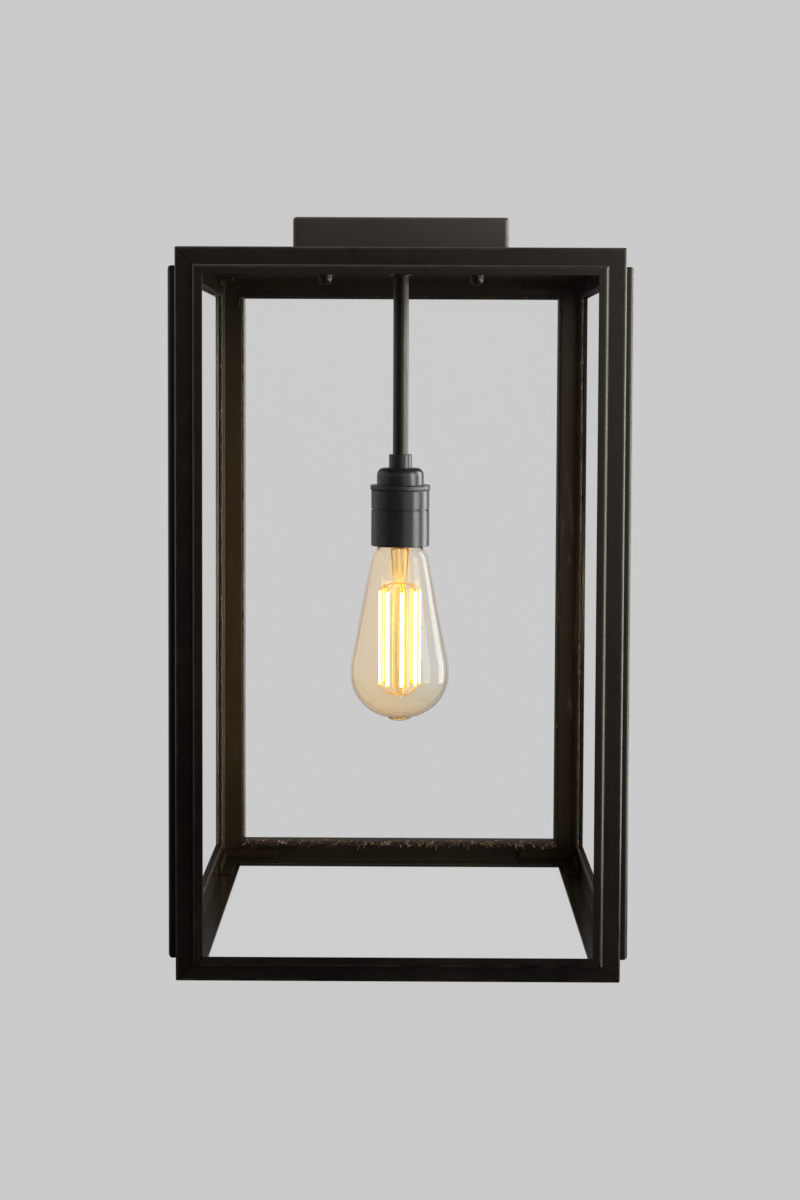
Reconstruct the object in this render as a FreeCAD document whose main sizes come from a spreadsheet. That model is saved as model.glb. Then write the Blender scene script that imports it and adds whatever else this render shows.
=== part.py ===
import FreeCAD, Part
import math
import os
import re
import Sketcher

# Box lantern for a porch ceiling: a mitred brass angle frame with a bead frame and a glass pane on each face,
# a mounting box on top, and a screw-in filament lamp on a drop tube.
# Millimetres. The origin is the centre of the mounting box's rim, which meets the ceiling. +Z is up, -Y is the
# front, and the lantern hangs below the origin.

SIZES = {
    # mitred angle frame
    "frame_width": 259.6,
    "frame_height": 428.0,
    "angle_leg": 14.5,
    "angle_wall": 2.0,
    "edge_round": 1.1,
    "plate_thickness": 2.0,
    # corner gussets
    "gusset_reach": 42.0,
    "gusset_depth": 9.0,
    "gusset_wall": 1.5,
    "gusset_height": 7.5,
    # bead frames that hold the panes on the faces
    "bead_offset": 10.6,
    "bead_width": 5.7,
    "bead_proud": 5.6,
    "bead_nose": 2.0,
    "bead_lip_round": 1.2,
    "bead_wall": 1.8,
    # glazing
    "glass_thickness": 3.0,
    "glass_edge_clearance": 0.3,
    "bedding_thickness": 0.4,
    # mounting box
    "box_width": 132.0,
    "box_height": 23.0,
    "box_wall": 2.6,
    "box_corner": 3.2,
    "box_rim_round": 2.0,
    # ceiling strap and its studs
    "strap_end_clearance": 2.4,
    "strap_width": 22.0,
    "strap_thickness": 2.5,
    "strap_corner": 3.0,
    "slot_spacing": 60.0,
    "slot_length": 14.0,
    "slot_width": 5.0,
    "cable_hole": 16.0,
    "stud_inset": 12.0,
    "stud_diameter": 5.0,
    "stud_engagement": 6.0,
    "stud_nut_width": 8.0,
    "stud_nut_height": 4.0,
    "washer_diameter": 11.0,
    "washer_thickness": 1.0,
    "dome_nut_width": 9.0,
    "dome_nut_collar": 4.0,
    "dome_nut_height": 9.5,
    "dome_diameter": 8.4,
    # wiring in the mounting box
    "block_length": 34.0,
    "block_width": 18.0,
    "block_height": 13.0,
    "block_offset": 36.0,
    "pole_spacing": 11.0,
    "pole_groove": 2.0,
    "pole_groove_depth": 6.0,
    "pole_bore": 3.6,
    "pole_screw": 3.4,
    "pole_screw_height": 5.0,
    "pole_screw_spacing": 9.0,
    "earth_across": 38.0,
    "earth_along": 20.0,
    "earth_head": 8.0,
    "earth_head_height": 2.5,
    "earth_shank": 4.0,
    "wire_diameter": 2.2,
    "wire_spacing": 3.2,
    "wire_rise": 8.0,
    "wire_bend": 2.3,
    "wire_straight": 9.0,
    "wire_fold": 4.5,
    # drop tube
    "tube_diameter": 10.0,
    "tube_bore": 7.6,
    "tube_visible": 120.0,
    "tube_thread_end": 2.0,
    "tube_nut_width": 14.0,
    "tube_nut_height": 4.0,
    # lampholder
    "collar_diameter": 15.0,
    "collar_height": 8.8,
    "collar_lip": 1.3,
    "cap_step": 3.7,
    "cap_dome_height": 11.0,
    "cap_dome_round": 4.6,
    "ring_proud": 0.45,
    "ring_height": 3.5,
    "ring_round": 0.9,
    "holder_diameter": 38.0,
    "holder_wall": 1.2,
    "body_height": 12.0,
    "groove_height": 0.8,
    "neck_engagement": 5.0,
    "skirt_height": 23.3,
    "skirt_lip": 0.9,
    "insert_height": 6.4,
    "sleeve_wall": 0.8,
    "sleeve_recess": 1.5,
    "contact_height": 3.3,
    "contact_thickness": 0.6,
    "contact_width": 6.0,
    "contact_reach": 9.0,
    "terminal_spacing": 17.0,
    "terminal_diameter": 6.0,
    "terminal_height": 4.5,
    # lamp
    "lamp_length": 140.0,
    "lamp_diameter": 64.2,
    "pip_diameter": 9.2,
    "pip_height": 1.6,
    "pip_round": 0.8,
    "insulator_height": 3.0,
    "insulator_width": 22.0,
    "cap_diameter": 26.4,
    "cap_shoulder": 2.0,
    "cap_end": 24.2,
    "cap_roof": 3.4,
    "cap_wall": 0.4,
    "glass_wall": 0.9,
    "neck_start": 14.0,
    "neck_show": 0.1,
    "shoulder_height": 10.9,
    "shoulder_round": 15.5,
    "cone_flare": 10.9,
    "belly_height": 15.5,
    "belly_rise": 31.5,
    "belly_swell": 2.1,
    "bottom_round": 28.8,
    "tip_diameter": 14.4,
    "tip_height": 1.6,
    "stem_flare": 1.5,
    "stem_diameter": 8.4,
    "stem_cone": 8.0,
    "stem_end": 44.0,
    "stem_pinch": 6.0,
    "rod_diameter": 2.4,
    "filament_top": 52.9,
    "filament_rise": 22.7,
    "filament_diameter": 2.0,
    "filament_ring": 25.0,
    "support_wire": 0.8,
    "support_rise": 3.0,
    # clearances
    "hole_clearance": 0.2,
    "thread_gap": 0.05,
    "fit_gap": 0.05,
    "lamp_clearance": 0.3,
    "contact_gap": 0.2,
}

FILAMENTS = 8
FILAMENT_STEP = 360 / FILAMENTS
FIRST_FILAMENT = 6.75
POLES = (-1, 0, 1)

# Heights and radii that follow from the sizes.
PLACES = {
    "frame_half": "frame_width / 2",
    "frame_top": "-box_height",
    "frame_bottom": "frame_top - frame_height",
    "plate_top": "frame_top - angle_wall",
    "plate_bottom": "plate_top - plate_thickness",
    "box_floor": "plate_top + box_wall",
    "bead_half": "frame_half - bead_offset",
    "rebate_depth": "bedding_thickness + glass_thickness",
    "pane_inset": "bead_offset + bead_wall + glass_edge_clearance",
    "pane_width": "frame_width - 2 * pane_inset",
    "pane_height": "frame_height - 2 * pane_inset",
    "pane_bottom": "frame_bottom + pane_inset",
    "sight_edge": "angle_leg - pane_inset",
    "nut_top": "plate_bottom - washer_thickness",
    "strap_length": "box_width - 2 * box_wall - 2 * strap_end_clearance",
    "stud_spacing": "strap_length - 2 * stud_inset",
    "stud_radius": "stud_diameter / 2",
    "tube_radius": "tube_diameter / 2",
    "tube_top": "box_floor + tube_nut_height + tube_thread_end",
    "collar_top": "plate_bottom - tube_visible",
    "cap_top": "collar_top - collar_height",
    "tube_end": "cap_top + collar_lip",
    "ring_top": "cap_top - cap_dome_height",
    "body_top": "ring_top - ring_height",
    "groove_top": "body_top - body_height",
    "skirt_top": "groove_top - groove_height",
    "skirt_bottom": "skirt_top - skirt_height",
    "holder_radius": "holder_diameter / 2",
    "cap_radius": "holder_radius - cap_step",
    "ring_radius": "holder_radius + ring_proud",
    "skirt_radius": "holder_radius - holder_wall",
    "neck_radius": "skirt_radius - fit_gap",
    "bore_radius": "neck_radius - holder_wall",
    "insert_top": "body_top - holder_wall",
    "insert_bottom": "insert_top - insert_height",
    "lamp_top": "insert_bottom - contact_height - contact_gap",
    "sleeve_radius": "cap_diameter / 2 + lamp_clearance",
    "insulator_end": "pip_height + insulator_height",
    "cap_bore": "cap_diameter / 2 - cap_wall",
    "lamp_neck": "cap_bore - fit_gap",
    "neck_end": "cap_end + neck_show",
    "shoulder_end": "neck_end + shoulder_height",
    "lamp_radius": "lamp_diameter / 2",
    "belly_drop": "lamp_length - belly_rise",
    "cone_end": "belly_drop - belly_height",
    "cone_radius": "lamp_radius - belly_swell",
    "shoulder_radius": "cone_radius - cone_flare",
    "belly_round": "(belly_height^2 + belly_swell^2) / (2 * belly_swell)",
    "tip_radius": "tip_diameter / 2",
    "tip_start": "belly_drop + sqrt(bottom_round^2 - (tip_radius - lamp_radius + bottom_round)^2)",
    "tip_round": "(tip_radius^2 + tip_height^2) / (2 * tip_height)",
    "inner_bottom": "belly_drop + sqrt((bottom_round - glass_wall)^2 - (bottom_round - lamp_radius)^2)",
    "filament_length": "lamp_length - filament_top - filament_rise",
    "stem_end_rod": "filament_top + filament_length + support_rise",
}

document = FreeCAD.newDocument("box_lantern")
sheet = document.addObject("Spreadsheet::Sheet", "Sizes")
for row, (name, size) in enumerate(SIZES.items(), start=1):
    sheet.set("A%d" % row, name)
    sheet.set("B%d" % row, "%g" % size)
    sheet.setAlias("B%d" % row, name)
document.recompute()

nodes = []


# Helpers: formulas, sketches and features

def formula(text):
    """Write a formula in the sheet's terms: a size becomes its cell, a place becomes its own formula."""
    def spell(match):
        word = match.group()
        if word in PLACES:
            return "(" + formula(PLACES[word]) + ")"
        if word in SIZES:
            return "Sizes." + word
        return word
    return re.sub(r"[a-z_]+", spell, text)


def number(text):
    """The value of a formula in millimetres."""
    return float(sheet.evalExpression(formula(text)))


def bind(thing, name, text):
    """Tie a property to a formula of the sheet's sizes."""
    thing.setExpression(name, formula(text))


def place(thing, across="0", along="0", up="0", rotation=None):
    """Turn a piece and tie its position to three formulas."""
    thing.Placement = FreeCAD.Placement(FreeCAD.Vector(), rotation or FreeCAD.Rotation())
    for axis, text in zip("xyz", (across, along, up)):
        bind(thing, "Placement.Base." + axis, text)
    return thing


def turned(degrees):
    """A turn about the lantern's upright axis."""
    return FreeCAD.Rotation(FreeCAD.Vector(0, 0, 1), degrees)


def axes(first, second, third):
    """The rotation that takes X, Y and Z to the three directions."""
    return FreeCAD.Rotation(*[FreeCAD.Vector(*way) for way in (first, second, third)], "ZXY")


def keep(thing, label):
    """Name a finished piece, which is written to the file of that name."""
    thing.Label = label
    nodes.append(thing)
    return thing


def new_body(name):
    return document.addObject("PartDesign::Body", name)


def round_edge(start, end, radius, side):
    """Arc of a radius between two points, its centre on the left (1) or right (-1) of the way there."""
    middle = (start + end) / 2
    way = end - start
    lift = math.sqrt(max(radius ** 2 - way.Length ** 2 / 4, 0)) / way.Length
    centre = middle + FreeCAD.Vector(-way.y, way.x, 0) * lift * side
    angles = [math.atan2(point.y - centre.y, point.x - centre.x) for point in (start, end)]
    circle = Part.Circle(centre, FreeCAD.Vector(0, 0, 1), radius)
    return Part.ArcOfCircle(circle, *angles[::side])


def tie(sketch, kind, edge, end, text):
    """Constrain one coordinate of a sketch point to a formula."""
    index = sketch.addConstraint(Sketcher.Constraint(kind, edge, end, number(text)))
    bind(sketch, "Constraints[%d]" % index, text)


def draw_loop(sketch, corners):
    """Closed outline through corners (x, y). A corner (x, y, radius, side) starts an arc to the next."""
    points = [FreeCAD.Vector(number(corner[0]), number(corner[1]), 0) for corner in corners]
    edges = []
    for corner, start, end in zip(corners, points, points[1:] + points[:1]):
        if len(corner) == 2:
            edges.append((sketch.addGeometry(Part.LineSegment(start, end)), 1, 2))
        else:
            arc = round_edge(start, end, number(corner[2]), corner[3])
            ends = (1, 2) if corner[3] > 0 else (2, 1)
            edges.append((sketch.addGeometry(arc), *ends))
    for (edge, _, last), (following, first, _) in zip(edges, edges[1:] + edges[:1]):
        sketch.addConstraint(Sketcher.Constraint("Coincident", edge, last, following, first))
    for corner, (edge, first, _) in zip(corners, edges):
        tie(sketch, "DistanceX", edge, first, corner[0])
        tie(sketch, "DistanceY", edge, first, corner[1])
        if len(corner) > 2:
            index = sketch.addConstraint(Sketcher.Constraint("Radius", edge, number(corner[2])))
            bind(sketch, "Constraints[%d]" % index, corner[2])


def draw_circle(sketch, across, along, radius):
    """Circle with its centre and radius tied to formulas."""
    centre = FreeCAD.Vector(number(across), number(along), 0)
    edge = sketch.addGeometry(Part.Circle(centre, FreeCAD.Vector(0, 0, 1), number(radius)))
    tie(sketch, "DistanceX", edge, 3, across)
    tie(sketch, "DistanceY", edge, 3, along)
    index = sketch.addConstraint(Sketcher.Constraint("Radius", edge, number(radius)))
    bind(sketch, "Constraints[%d]" % index, radius)


def new_sketch(body, role, loops=(), circles=()):
    """Sketch on one of the body's own planes."""
    sketch = body.newObject("Sketcher::SketchObject", body.Name + "_sketch")
    plane = [feature for feature in body.Origin.OriginFeatures if feature.Role == role][0]
    sketch.AttachmentSupport = [(plane, "")]
    sketch.MapMode = "FlatFace"
    for corners in loops:
        draw_loop(sketch, corners)
    for circle in circles:
        draw_circle(sketch, *circle)
    return sketch


def pad(body, sketch, length, symmetric=False):
    feature = body.newObject("PartDesign::Pad", body.Name + "_pad")
    feature.Profile = sketch
    feature.SideType = "Symmetric" if symmetric else "One side"
    bind(feature, "Length", length)
    return feature


def cut_through(body, sketch):
    """Cut a sketch right through the body, both ways from its plane."""
    feature = body.newObject("PartDesign::Pocket", body.Name + "_cut")
    feature.Profile = sketch
    feature.Type = "ThroughAll"
    feature.SideType = "Symmetric"
    return feature


def cut_upward(body, sketch, start, length=None):
    """Cut a sketch upward from a height, to a depth or right out of the top."""
    bind(sketch, "AttachmentOffset.Base.z", start)
    feature = body.newObject("PartDesign::Pocket", body.Name + "_cut")
    feature.Profile = sketch
    feature.Reversed = True
    if length:
        bind(feature, "Length", length)
    else:
        feature.Type = "ThroughAll"
    return feature


def soften_top(body, feature, radius):
    """Round the edges round the top of a feature."""
    document.recompute()
    top = feature.Shape.BoundBox.ZMax
    rim = ["Edge%d" % count for count, edge in enumerate(feature.Shape.Edges, start=1)
           if edge.BoundBox.ZMin > top - feature.Length.Value / 2]
    rounding = body.newObject("PartDesign::Fillet", body.Name + "_round")
    rounding.Base = (feature, rim)
    bind(rounding, "Radius", radius)
    return rounding


def revolve(name, corners):
    """Body of revolution about the lantern's upright axis, from an outline of (radius, height)."""
    body = new_body(name)
    sketch = new_sketch(body, "XZ_Plane", [corners])
    feature = body.newObject("PartDesign::Revolution", name + "_turn")
    feature.Profile = sketch
    feature.ReferenceAxis = (sketch, ["V_Axis"])
    feature.Angle = 360
    return body


def rectangle(half_width, half_depth):
    """Corners of a rectangle about the sketch's origin."""
    return [("-(%s)" % half_width, "-(%s)" % half_depth), (half_width, "-(%s)" % half_depth),
            (half_width, half_depth), ("-(%s)" % half_width, half_depth)]


def rounded_rectangle(half_width, half_depth, radius):
    """Corners of a rectangle about the sketch's origin with rounded corners."""
    outline = []
    for across, along in ((1, -1), (1, 1), (-1, 1), (-1, -1)):
        flat_x = "%d * (%s - %s)" % (across, half_width, radius)
        flat_y = "%d * (%s - %s)" % (along, half_depth, radius)
        far_x = "%d * (%s)" % (across, half_width)
        far_y = "%d * (%s)" % (along, half_depth)
        if across == along:
            outline += [(far_x, flat_y, radius, 1), (flat_x, far_y)]
        else:
            outline += [(flat_x, far_y, radius, 1), (far_x, flat_y)]
    return outline


def slot(centre, length, width):
    """Outline of a round-ended slot that runs along X."""
    radius = "%s / 2" % width
    outline = []
    for way in (1, -1):
        flat = "%s + %d * (%s - %s) / 2" % (centre, way, length, width)
        far = "%s + %d * %s / 2" % (centre, way, length)
        outline += [(flat, "%d * %s" % (-way, radius), radius, 1), (far, "0", radius, 1)]
        outline += [(flat, "%d * %s" % (way, radius))]
    return outline


def hexagon(width):
    """Corners of a hexagon from its width across the flats."""
    corner = "%s / sqrt(3)" % width
    return [("%s * cos(%d deg)" % (corner, angle), "%s * sin(%d deg)" % (corner, angle))
            for angle in range(0, 360, 60)]


def group(label, members):
    """Several separate solids that make one named piece."""
    compound = document.addObject("Part::Compound", label)
    compound.Links = members
    return keep(compound, label)


def rod(name, radius, length, across, along, up):
    """Upright cylinder on its lower end."""
    cylinder = document.addObject("Part::Cylinder", name)
    bind(cylinder, "Radius", radius)
    bind(cylinder, "Height", length)
    return place(cylinder, across, along, up)


# The faces and corners of the frame, by quarter turns from the front and from the front left corner.
FACES = {"front": (0, -1), "right": (1, 0), "back": (0, 1), "left": (-1, 0)}
CORNERS = {"front_left": (-1, -1), "front_right": (1, -1), "back_right": (1, 1), "back_left": (-1, 1)}
QUARTERS = (0, 90, 180, 270)


# Mitred angle frame

def mitred_angle(name, length):
    """Angle bar along Z, its outer edge on the axis, both legs mitred at both ends."""
    body = new_body(name)
    section = [("edge_round", "0"), ("angle_leg", "0"), ("angle_leg", "angle_wall"),
               ("angle_wall", "angle_wall"), ("angle_wall", "angle_leg"), ("0", "angle_leg"),
               ("0", "edge_round", "edge_round", 1)]
    pad(body, new_sketch(body, "XY_Plane", [section]), length)
    reach = "2 * angle_leg"
    lower = [("0", "0"), (reach, "0"), (reach, reach)]
    upper = [("0", length), (reach, "%s - %s" % (length, reach)), (reach, length)]
    for role in ("XZ_Plane", "YZ_Plane"):
        cut_through(body, new_sketch(body, role, [lower, upper]))
    return body


def corner_spot(signs):
    """Formulas for an outer corner of the frame."""
    return ["%d * frame_half" % sign for sign in signs]


def build_frame():
    top_rail = axes((0, 1, 0), (0, 0, -1), (-1, 0, 0))
    bottom_rail = axes((0, 1, 0), (0, 0, 1), (1, 0, 0))
    corners = list(CORNERS.values())
    for turn, corner, label in zip(QUARTERS, corners, CORNERS):
        post = mitred_angle("corner_post_" + label, "frame_height")
        place(post, *corner_spot(corner), "frame_bottom", turned(turn))
        keep(post, "corner_post_" + label)
    for turn, start, end, label in zip(QUARTERS, corners, corners[1:] + corners[:1], FACES):
        rail = mitred_angle("top_rail_" + label, "frame_width")
        place(rail, *corner_spot(end), "frame_top", turned(turn) * top_rail)
        keep(rail, "top_rail_" + label)
        rail = mitred_angle("bottom_rail_" + label, "frame_width")
        place(rail, *corner_spot(start), "frame_bottom", turned(turn) * bottom_rail)
        keep(rail, "bottom_rail_" + label)


def build_top_plate():
    body = new_body("top_plate")
    side = "frame_half - angle_wall"
    pad(body, new_sketch(body, "XY_Plane", [rectangle(side, side)]), "plate_thickness")
    cut_through(body, new_sketch(body, "XY_Plane", circles=plate_holes()))
    keep(place(body, up="plate_bottom"), "top_plate")


def plate_holes():
    """The holes for the drop tube and the studs, through the top plate and the box floor alike."""
    stud_hole = "stud_radius + hole_clearance"
    return [("0", "0", "tube_radius + hole_clearance"),
            ("stud_spacing / 2", "0", stud_hole), ("-stud_spacing / 2", "0", stud_hole)]


def gusset(name, height):
    """Corner gusset: a flat L in plan with an upstand along both outer edges."""
    body = new_body(name)
    for width, thickness in (("gusset_depth", "gusset_wall"), ("gusset_wall", height)):
        inner = "angle_wall + " + width
        outline = [("angle_wall", "angle_wall"), ("gusset_reach", "angle_wall"), ("gusset_reach", inner),
                   (inner, inner), (inner, "gusset_reach"), ("angle_wall", "gusset_reach")]
        pad(body, new_sketch(body, "XY_Plane", [outline]), thickness)
    return body


def build_gussets():
    turned_over = FreeCAD.Rotation(FreeCAD.Vector(1, 1, 0), 180)
    lower = []
    upper = []
    for turn, (label, corner) in zip(QUARTERS, CORNERS.items()):
        piece = gusset("bottom_gusset_" + label, "gusset_height")
        lower.append(place(piece, *corner_spot(corner), "frame_bottom + angle_wall", turned(turn)))
        piece = gusset("top_gusset_" + label, "gusset_height - plate_thickness")
        upper.append(place(piece, *corner_spot(corner), "plate_bottom", turned(turn) * turned_over))
    group("bottom_corner_gussets", lower)
    group("top_corner_gussets", upper)


# Bead frames, panes and bedding on the outside of the four faces

def bead_bar(name, length):
    """Round-nosed bar along Z with a rebate for the pane, its outer edge on the axis, mitred towards +X."""
    body = new_body(name)
    section = [("0", "0"), ("bead_wall", "0"), ("bead_wall", "rebate_depth"), ("bead_width", "rebate_depth"),
               ("bead_width", "bead_proud - bead_lip_round", "bead_lip_round", 1),
               ("bead_width - bead_lip_round", "bead_proud"), ("bead_nose", "bead_proud", "bead_nose", 1),
               ("0", "bead_proud - bead_nose")]
    pad(body, new_sketch(body, "XY_Plane", [section]), length)
    reach = "2 * bead_width"
    lower = [("0", "0"), (reach, "0"), (reach, reach)]
    upper = [("0", length), (reach, "%s - %s" % (length, reach)), (reach, length)]
    cut_through(body, new_sketch(body, "XZ_Plane", [lower, upper]))
    return body


def build_bead_frames():
    outward = (0, -1, 0)
    high = "frame_top - bead_offset"
    low = "frame_bottom + bead_offset"
    level = "frame_width - 2 * bead_offset"
    upright = "frame_height - 2 * bead_offset"
    bars = {"bottom": (level, "-bead_half", low, axes((0, 0, 1), outward, (1, 0, 0))),
            "top": (level, "bead_half", high, axes((0, 0, -1), outward, (-1, 0, 0))),
            "left": (upright, "-bead_half", high, axes((1, 0, 0), outward, (0, 0, -1))),
            "right": (upright, "bead_half", low, axes((-1, 0, 0), outward, (0, 0, 1)))}
    for turn, face in zip(QUARTERS, FACES):
        members = []
        for side, (length, across, up, rotation) in bars.items():
            bar = bead_bar("bead_%s_%s" % (face, side), length)
            members.append(place(bar, across, "-frame_half", up, rotation))
        frame = group("bead_frame_" + face, members)
        frame.Placement = FreeCAD.Placement(FreeCAD.Vector(), turned(turn))


def build_glazing():
    half = "pane_width / 2"
    sight = "frame_half - angle_leg"
    pane = [("-" + half, "0"), (half, "0"), (half, "pane_height"), ("-" + half, "pane_height")]
    opening_top = "pane_height - sight_edge"
    opening = [("-(%s)" % sight, "sight_edge"), (sight, "sight_edge"),
               (sight, opening_top), ("-(%s)" % sight, opening_top)]
    for turn, (face, (across, along)) in zip(QUARTERS, FACES.items()):
        for label, loops, thickness, start in (
                ("bedding_" + face, [pane, opening], "bedding_thickness", "frame_half"),
                ("glass_pane_" + face, [pane], "glass_thickness", "frame_half + bedding_thickness")):
            body = new_body(label)
            pad(body, new_sketch(body, "XZ_Plane", loops), thickness)
            spots = ["%d * (%s)" % (sign, start) for sign in (across, along)]
            keep(place(body, *spots, "pane_bottom", turned(turn)), label)


# Mounting box, ceiling strap and fixings

def build_mounting_box():
    body = new_body("mounting_box")
    half = "box_width / 2"
    outside = rounded_rectangle(half, half, "box_corner")
    inside_half = "box_width / 2 - box_wall"
    inside = rounded_rectangle("(%s)" % inside_half, "(%s)" % inside_half, "(box_corner - box_wall)")
    block = pad(body, new_sketch(body, "XY_Plane", [outside]), "box_height + angle_wall")
    soften_top(body, block, "box_rim_round")
    cut_upward(body, new_sketch(body, "XY_Plane", [inside]), "box_wall")
    earth_hole = ("earth_across", "earth_along", "earth_shank / 2 + thread_gap")
    cut_through(body, new_sketch(body, "XY_Plane", circles=plate_holes() + [earth_hole]))
    keep(place(body, up="plate_top"), "mounting_box")


def build_ceiling_strap():
    body = new_body("ceiling_strap")
    outline = rounded_rectangle("strap_length / 2", "strap_width / 2", "strap_corner")
    pad(body, new_sketch(body, "XY_Plane", [outline]), "strap_thickness")
    slots = [slot("%d * slot_spacing / 2" % side, "slot_length", "slot_width") for side in (1, -1)]
    tapped = "stud_radius + thread_gap"
    holes = [("0", "0", "cable_hole / 2"), ("stud_spacing / 2", "0", tapped),
             ("-stud_spacing / 2", "0", tapped)]
    cut_through(body, new_sketch(body, "XY_Plane", slots, holes))
    keep(place(body, up="-strap_thickness"), "ceiling_strap")


def hex_nut(name, width, height, bore):
    """Plain hexagon nut with its bore right through."""
    body = new_body(name)
    pad(body, new_sketch(body, "XY_Plane", [hexagon(width)]), height)
    cut_through(body, new_sketch(body, "XY_Plane", circles=[("0", "0", bore)]))
    return body


def dome_nut(name):
    """Cap nut: a hexagon below a dome, with a blind bore from its flat end, which is at the origin."""
    body = new_body(name)
    pad(body, new_sketch(body, "XY_Plane", [hexagon("dome_nut_width")]), "dome_nut_collar")
    radius = "dome_diameter / 2"
    profile = [("0", "0"), (radius, "0"), (radius, "dome_nut_height - " + radius, radius, 1),
               ("0", "dome_nut_height")]
    dome = body.newObject("PartDesign::Revolution", name + "_dome")
    dome.Profile = new_sketch(body, "XZ_Plane", [profile])
    dome.ReferenceAxis = (dome.Profile[0], ["V_Axis"])
    dome.Angle = 360
    bore = new_sketch(body, "XY_Plane", circles=[("0", "0", "stud_radius + thread_gap")])
    cut_upward(body, bore, "0", "stud_engagement + thread_gap")
    return body


def build_studs():
    upside_down = FreeCAD.Rotation(FreeCAD.Vector(1, 0, 0), 180)
    bore = "stud_radius + thread_gap"
    studs, locknuts, washers, domes = [], [], [], []
    for side, sign in (("left", "-"), ("right", "")):
        across = sign + "stud_spacing / 2"
        stud_end = "nut_top - stud_engagement"
        studs.append(rod("stud_" + side, "stud_radius", "-(%s)" % stud_end, across, "0", stud_end))
        nut = hex_nut("stud_locknut_" + side, "stud_nut_width", "stud_nut_height", bore)
        locknuts.append(place(nut, across, up="-strap_thickness - stud_nut_height"))
        washer = new_body("stud_washer_" + side)
        rings = [("0", "0", "washer_diameter / 2"), ("0", "0", "stud_radius + hole_clearance")]
        pad(washer, new_sketch(washer, "XY_Plane", circles=rings), "washer_thickness")
        washers.append(place(washer, across, up="nut_top"))
        domes.append(place(dome_nut("dome_nut_" + side), across, up="nut_top", rotation=upside_down))
    group("strap_studs", studs)
    group("stud_locknuts", locknuts)
    group("stud_washers", washers)
    group("dome_nuts", domes)


# Wiring

def build_terminal_block():
    body = new_body("terminal_block")
    pad(body, new_sketch(body, "XY_Plane", [rectangle("block_length / 2", "block_width / 2")]), "block_height")
    grooves = [[("%s - pole_groove / 2" % middle, "block_height - pole_groove_depth"),
                ("%s + pole_groove / 2" % middle, "block_height - pole_groove_depth"),
                ("%s + pole_groove / 2" % middle, "2 * block_height"),
                ("%s - pole_groove / 2" % middle, "2 * block_height")]
               for middle in ("-pole_spacing / 2", "pole_spacing / 2")]
    bores = [("%d * pole_spacing" % pole, "(block_height - pole_bore) / 2", "pole_bore / 2") for pole in POLES]
    cut_through(body, new_sketch(body, "XZ_Plane", grooves, bores))
    wells = [("%d * pole_spacing" % pole, "%d * pole_screw_spacing / 2" % row, "pole_screw / 2 + thread_gap")
             for pole in POLES for row in (1, -1)]
    cut_upward(body, new_sketch(body, "XY_Plane", circles=wells), "block_height / 2")
    keep(place(body, along="block_offset", up="box_floor"), "terminal_block")
    screws = [rod("terminal_screw_%d_%d" % (pole + 2, row), "pole_screw / 2", "pole_screw_height",
                  "%d * pole_spacing" % pole, "block_offset + %d * pole_screw_spacing / 2" % row,
                  "box_floor + block_height / 2")
              for pole in POLES for row in (1, -1)]
    group("terminal_screws", screws)


def build_earth_screw():
    head = "earth_head / 2"
    shank = "earth_shank / 2"
    screw = revolve("earth_screw", [("0", "-box_wall"), (shank, "-box_wall"), (shank, "0"), (head, "0"),
                                    (head, "earth_head_height"), ("0", "earth_head_height")])
    keep(place(screw, "earth_across", "earth_along", "box_floor"), "earth_screw")


def bent_wire(label, points):
    """Round wire along straight runs between points, with a tangent arc at each corner."""
    points = [FreeCAD.Vector(*[number(text) for text in point]) for point in points]
    radius = number("wire_diameter") / 2
    bend = number("wire_bend")
    edges = []
    last = points[0]
    for before, corner, after in zip(points, points[1:], points[2:]):
        into = (corner - before).normalize()
        out = (after - corner).normalize()
        turn = into.getAngle(out)
        setback = bend * math.tan(turn / 2)
        start = corner - into * setback
        end = corner + out * setback
        middle = corner + (out - into).normalize() * bend * (1 / math.cos(turn / 2) - 1)
        edges += [Part.LineSegment(last, start).toShape(), Part.Arc(start, middle, end).toShape()]
        last = end
    edges.append(Part.LineSegment(last, points[-1]).toShape())
    path = Part.Wire(edges)
    circle = Part.makeCircle(radius, points[0], points[1] - points[0])
    solid = path.makePipeShell([Part.Wire(circle)], True, True)
    expected = math.pi * radius ** 2 * path.Length
    if abs(solid.Volume - expected) > 0.02 * expected:
        raise RuntimeError("%s: volume %.1f, expected %.1f" % (label, solid.Volume, expected))
    wire = document.addObject("Part::Feature", label)
    wire.Shape = solid
    return keep(wire, label)


def build_wires():
    entry = "block_offset - block_width / 2"
    bore_height = "box_floor + (block_height - pole_bore) / 2"
    crest = "tube_top + wire_rise"
    fold = "cap_top - holder_wall - wire_fold"
    landing = "insert_top + terminal_height"
    for label, pole, sign in (("live_wire", -1, "-"), ("neutral_wire", 0, "")):
        pole_x = "%d * pole_spacing" % pole
        tube_x = sign + "wire_spacing / 2"
        end_x = sign + "terminal_spacing / 2"
        bent_wire(label, [(pole_x, entry, bore_height), (pole_x, entry + " - wire_straight", bore_height),
                          (tube_x, "0", crest), (tube_x, "0", fold), (end_x, "0", landing + " + wire_fold"),
                          (end_x, "0", landing)])
    earth_end = "earth_across - earth_head / 2"
    earth_z = "box_floor + wire_diameter / 2 + thread_gap"
    bent_wire("earth_wire", [("pole_spacing", entry, bore_height), ("pole_spacing", "earth_along", bore_height),
                             (earth_end + " - wire_straight", "earth_along", earth_z),
                             (earth_end, "earth_along", earth_z)])


# Drop tube and lampholder

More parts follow.
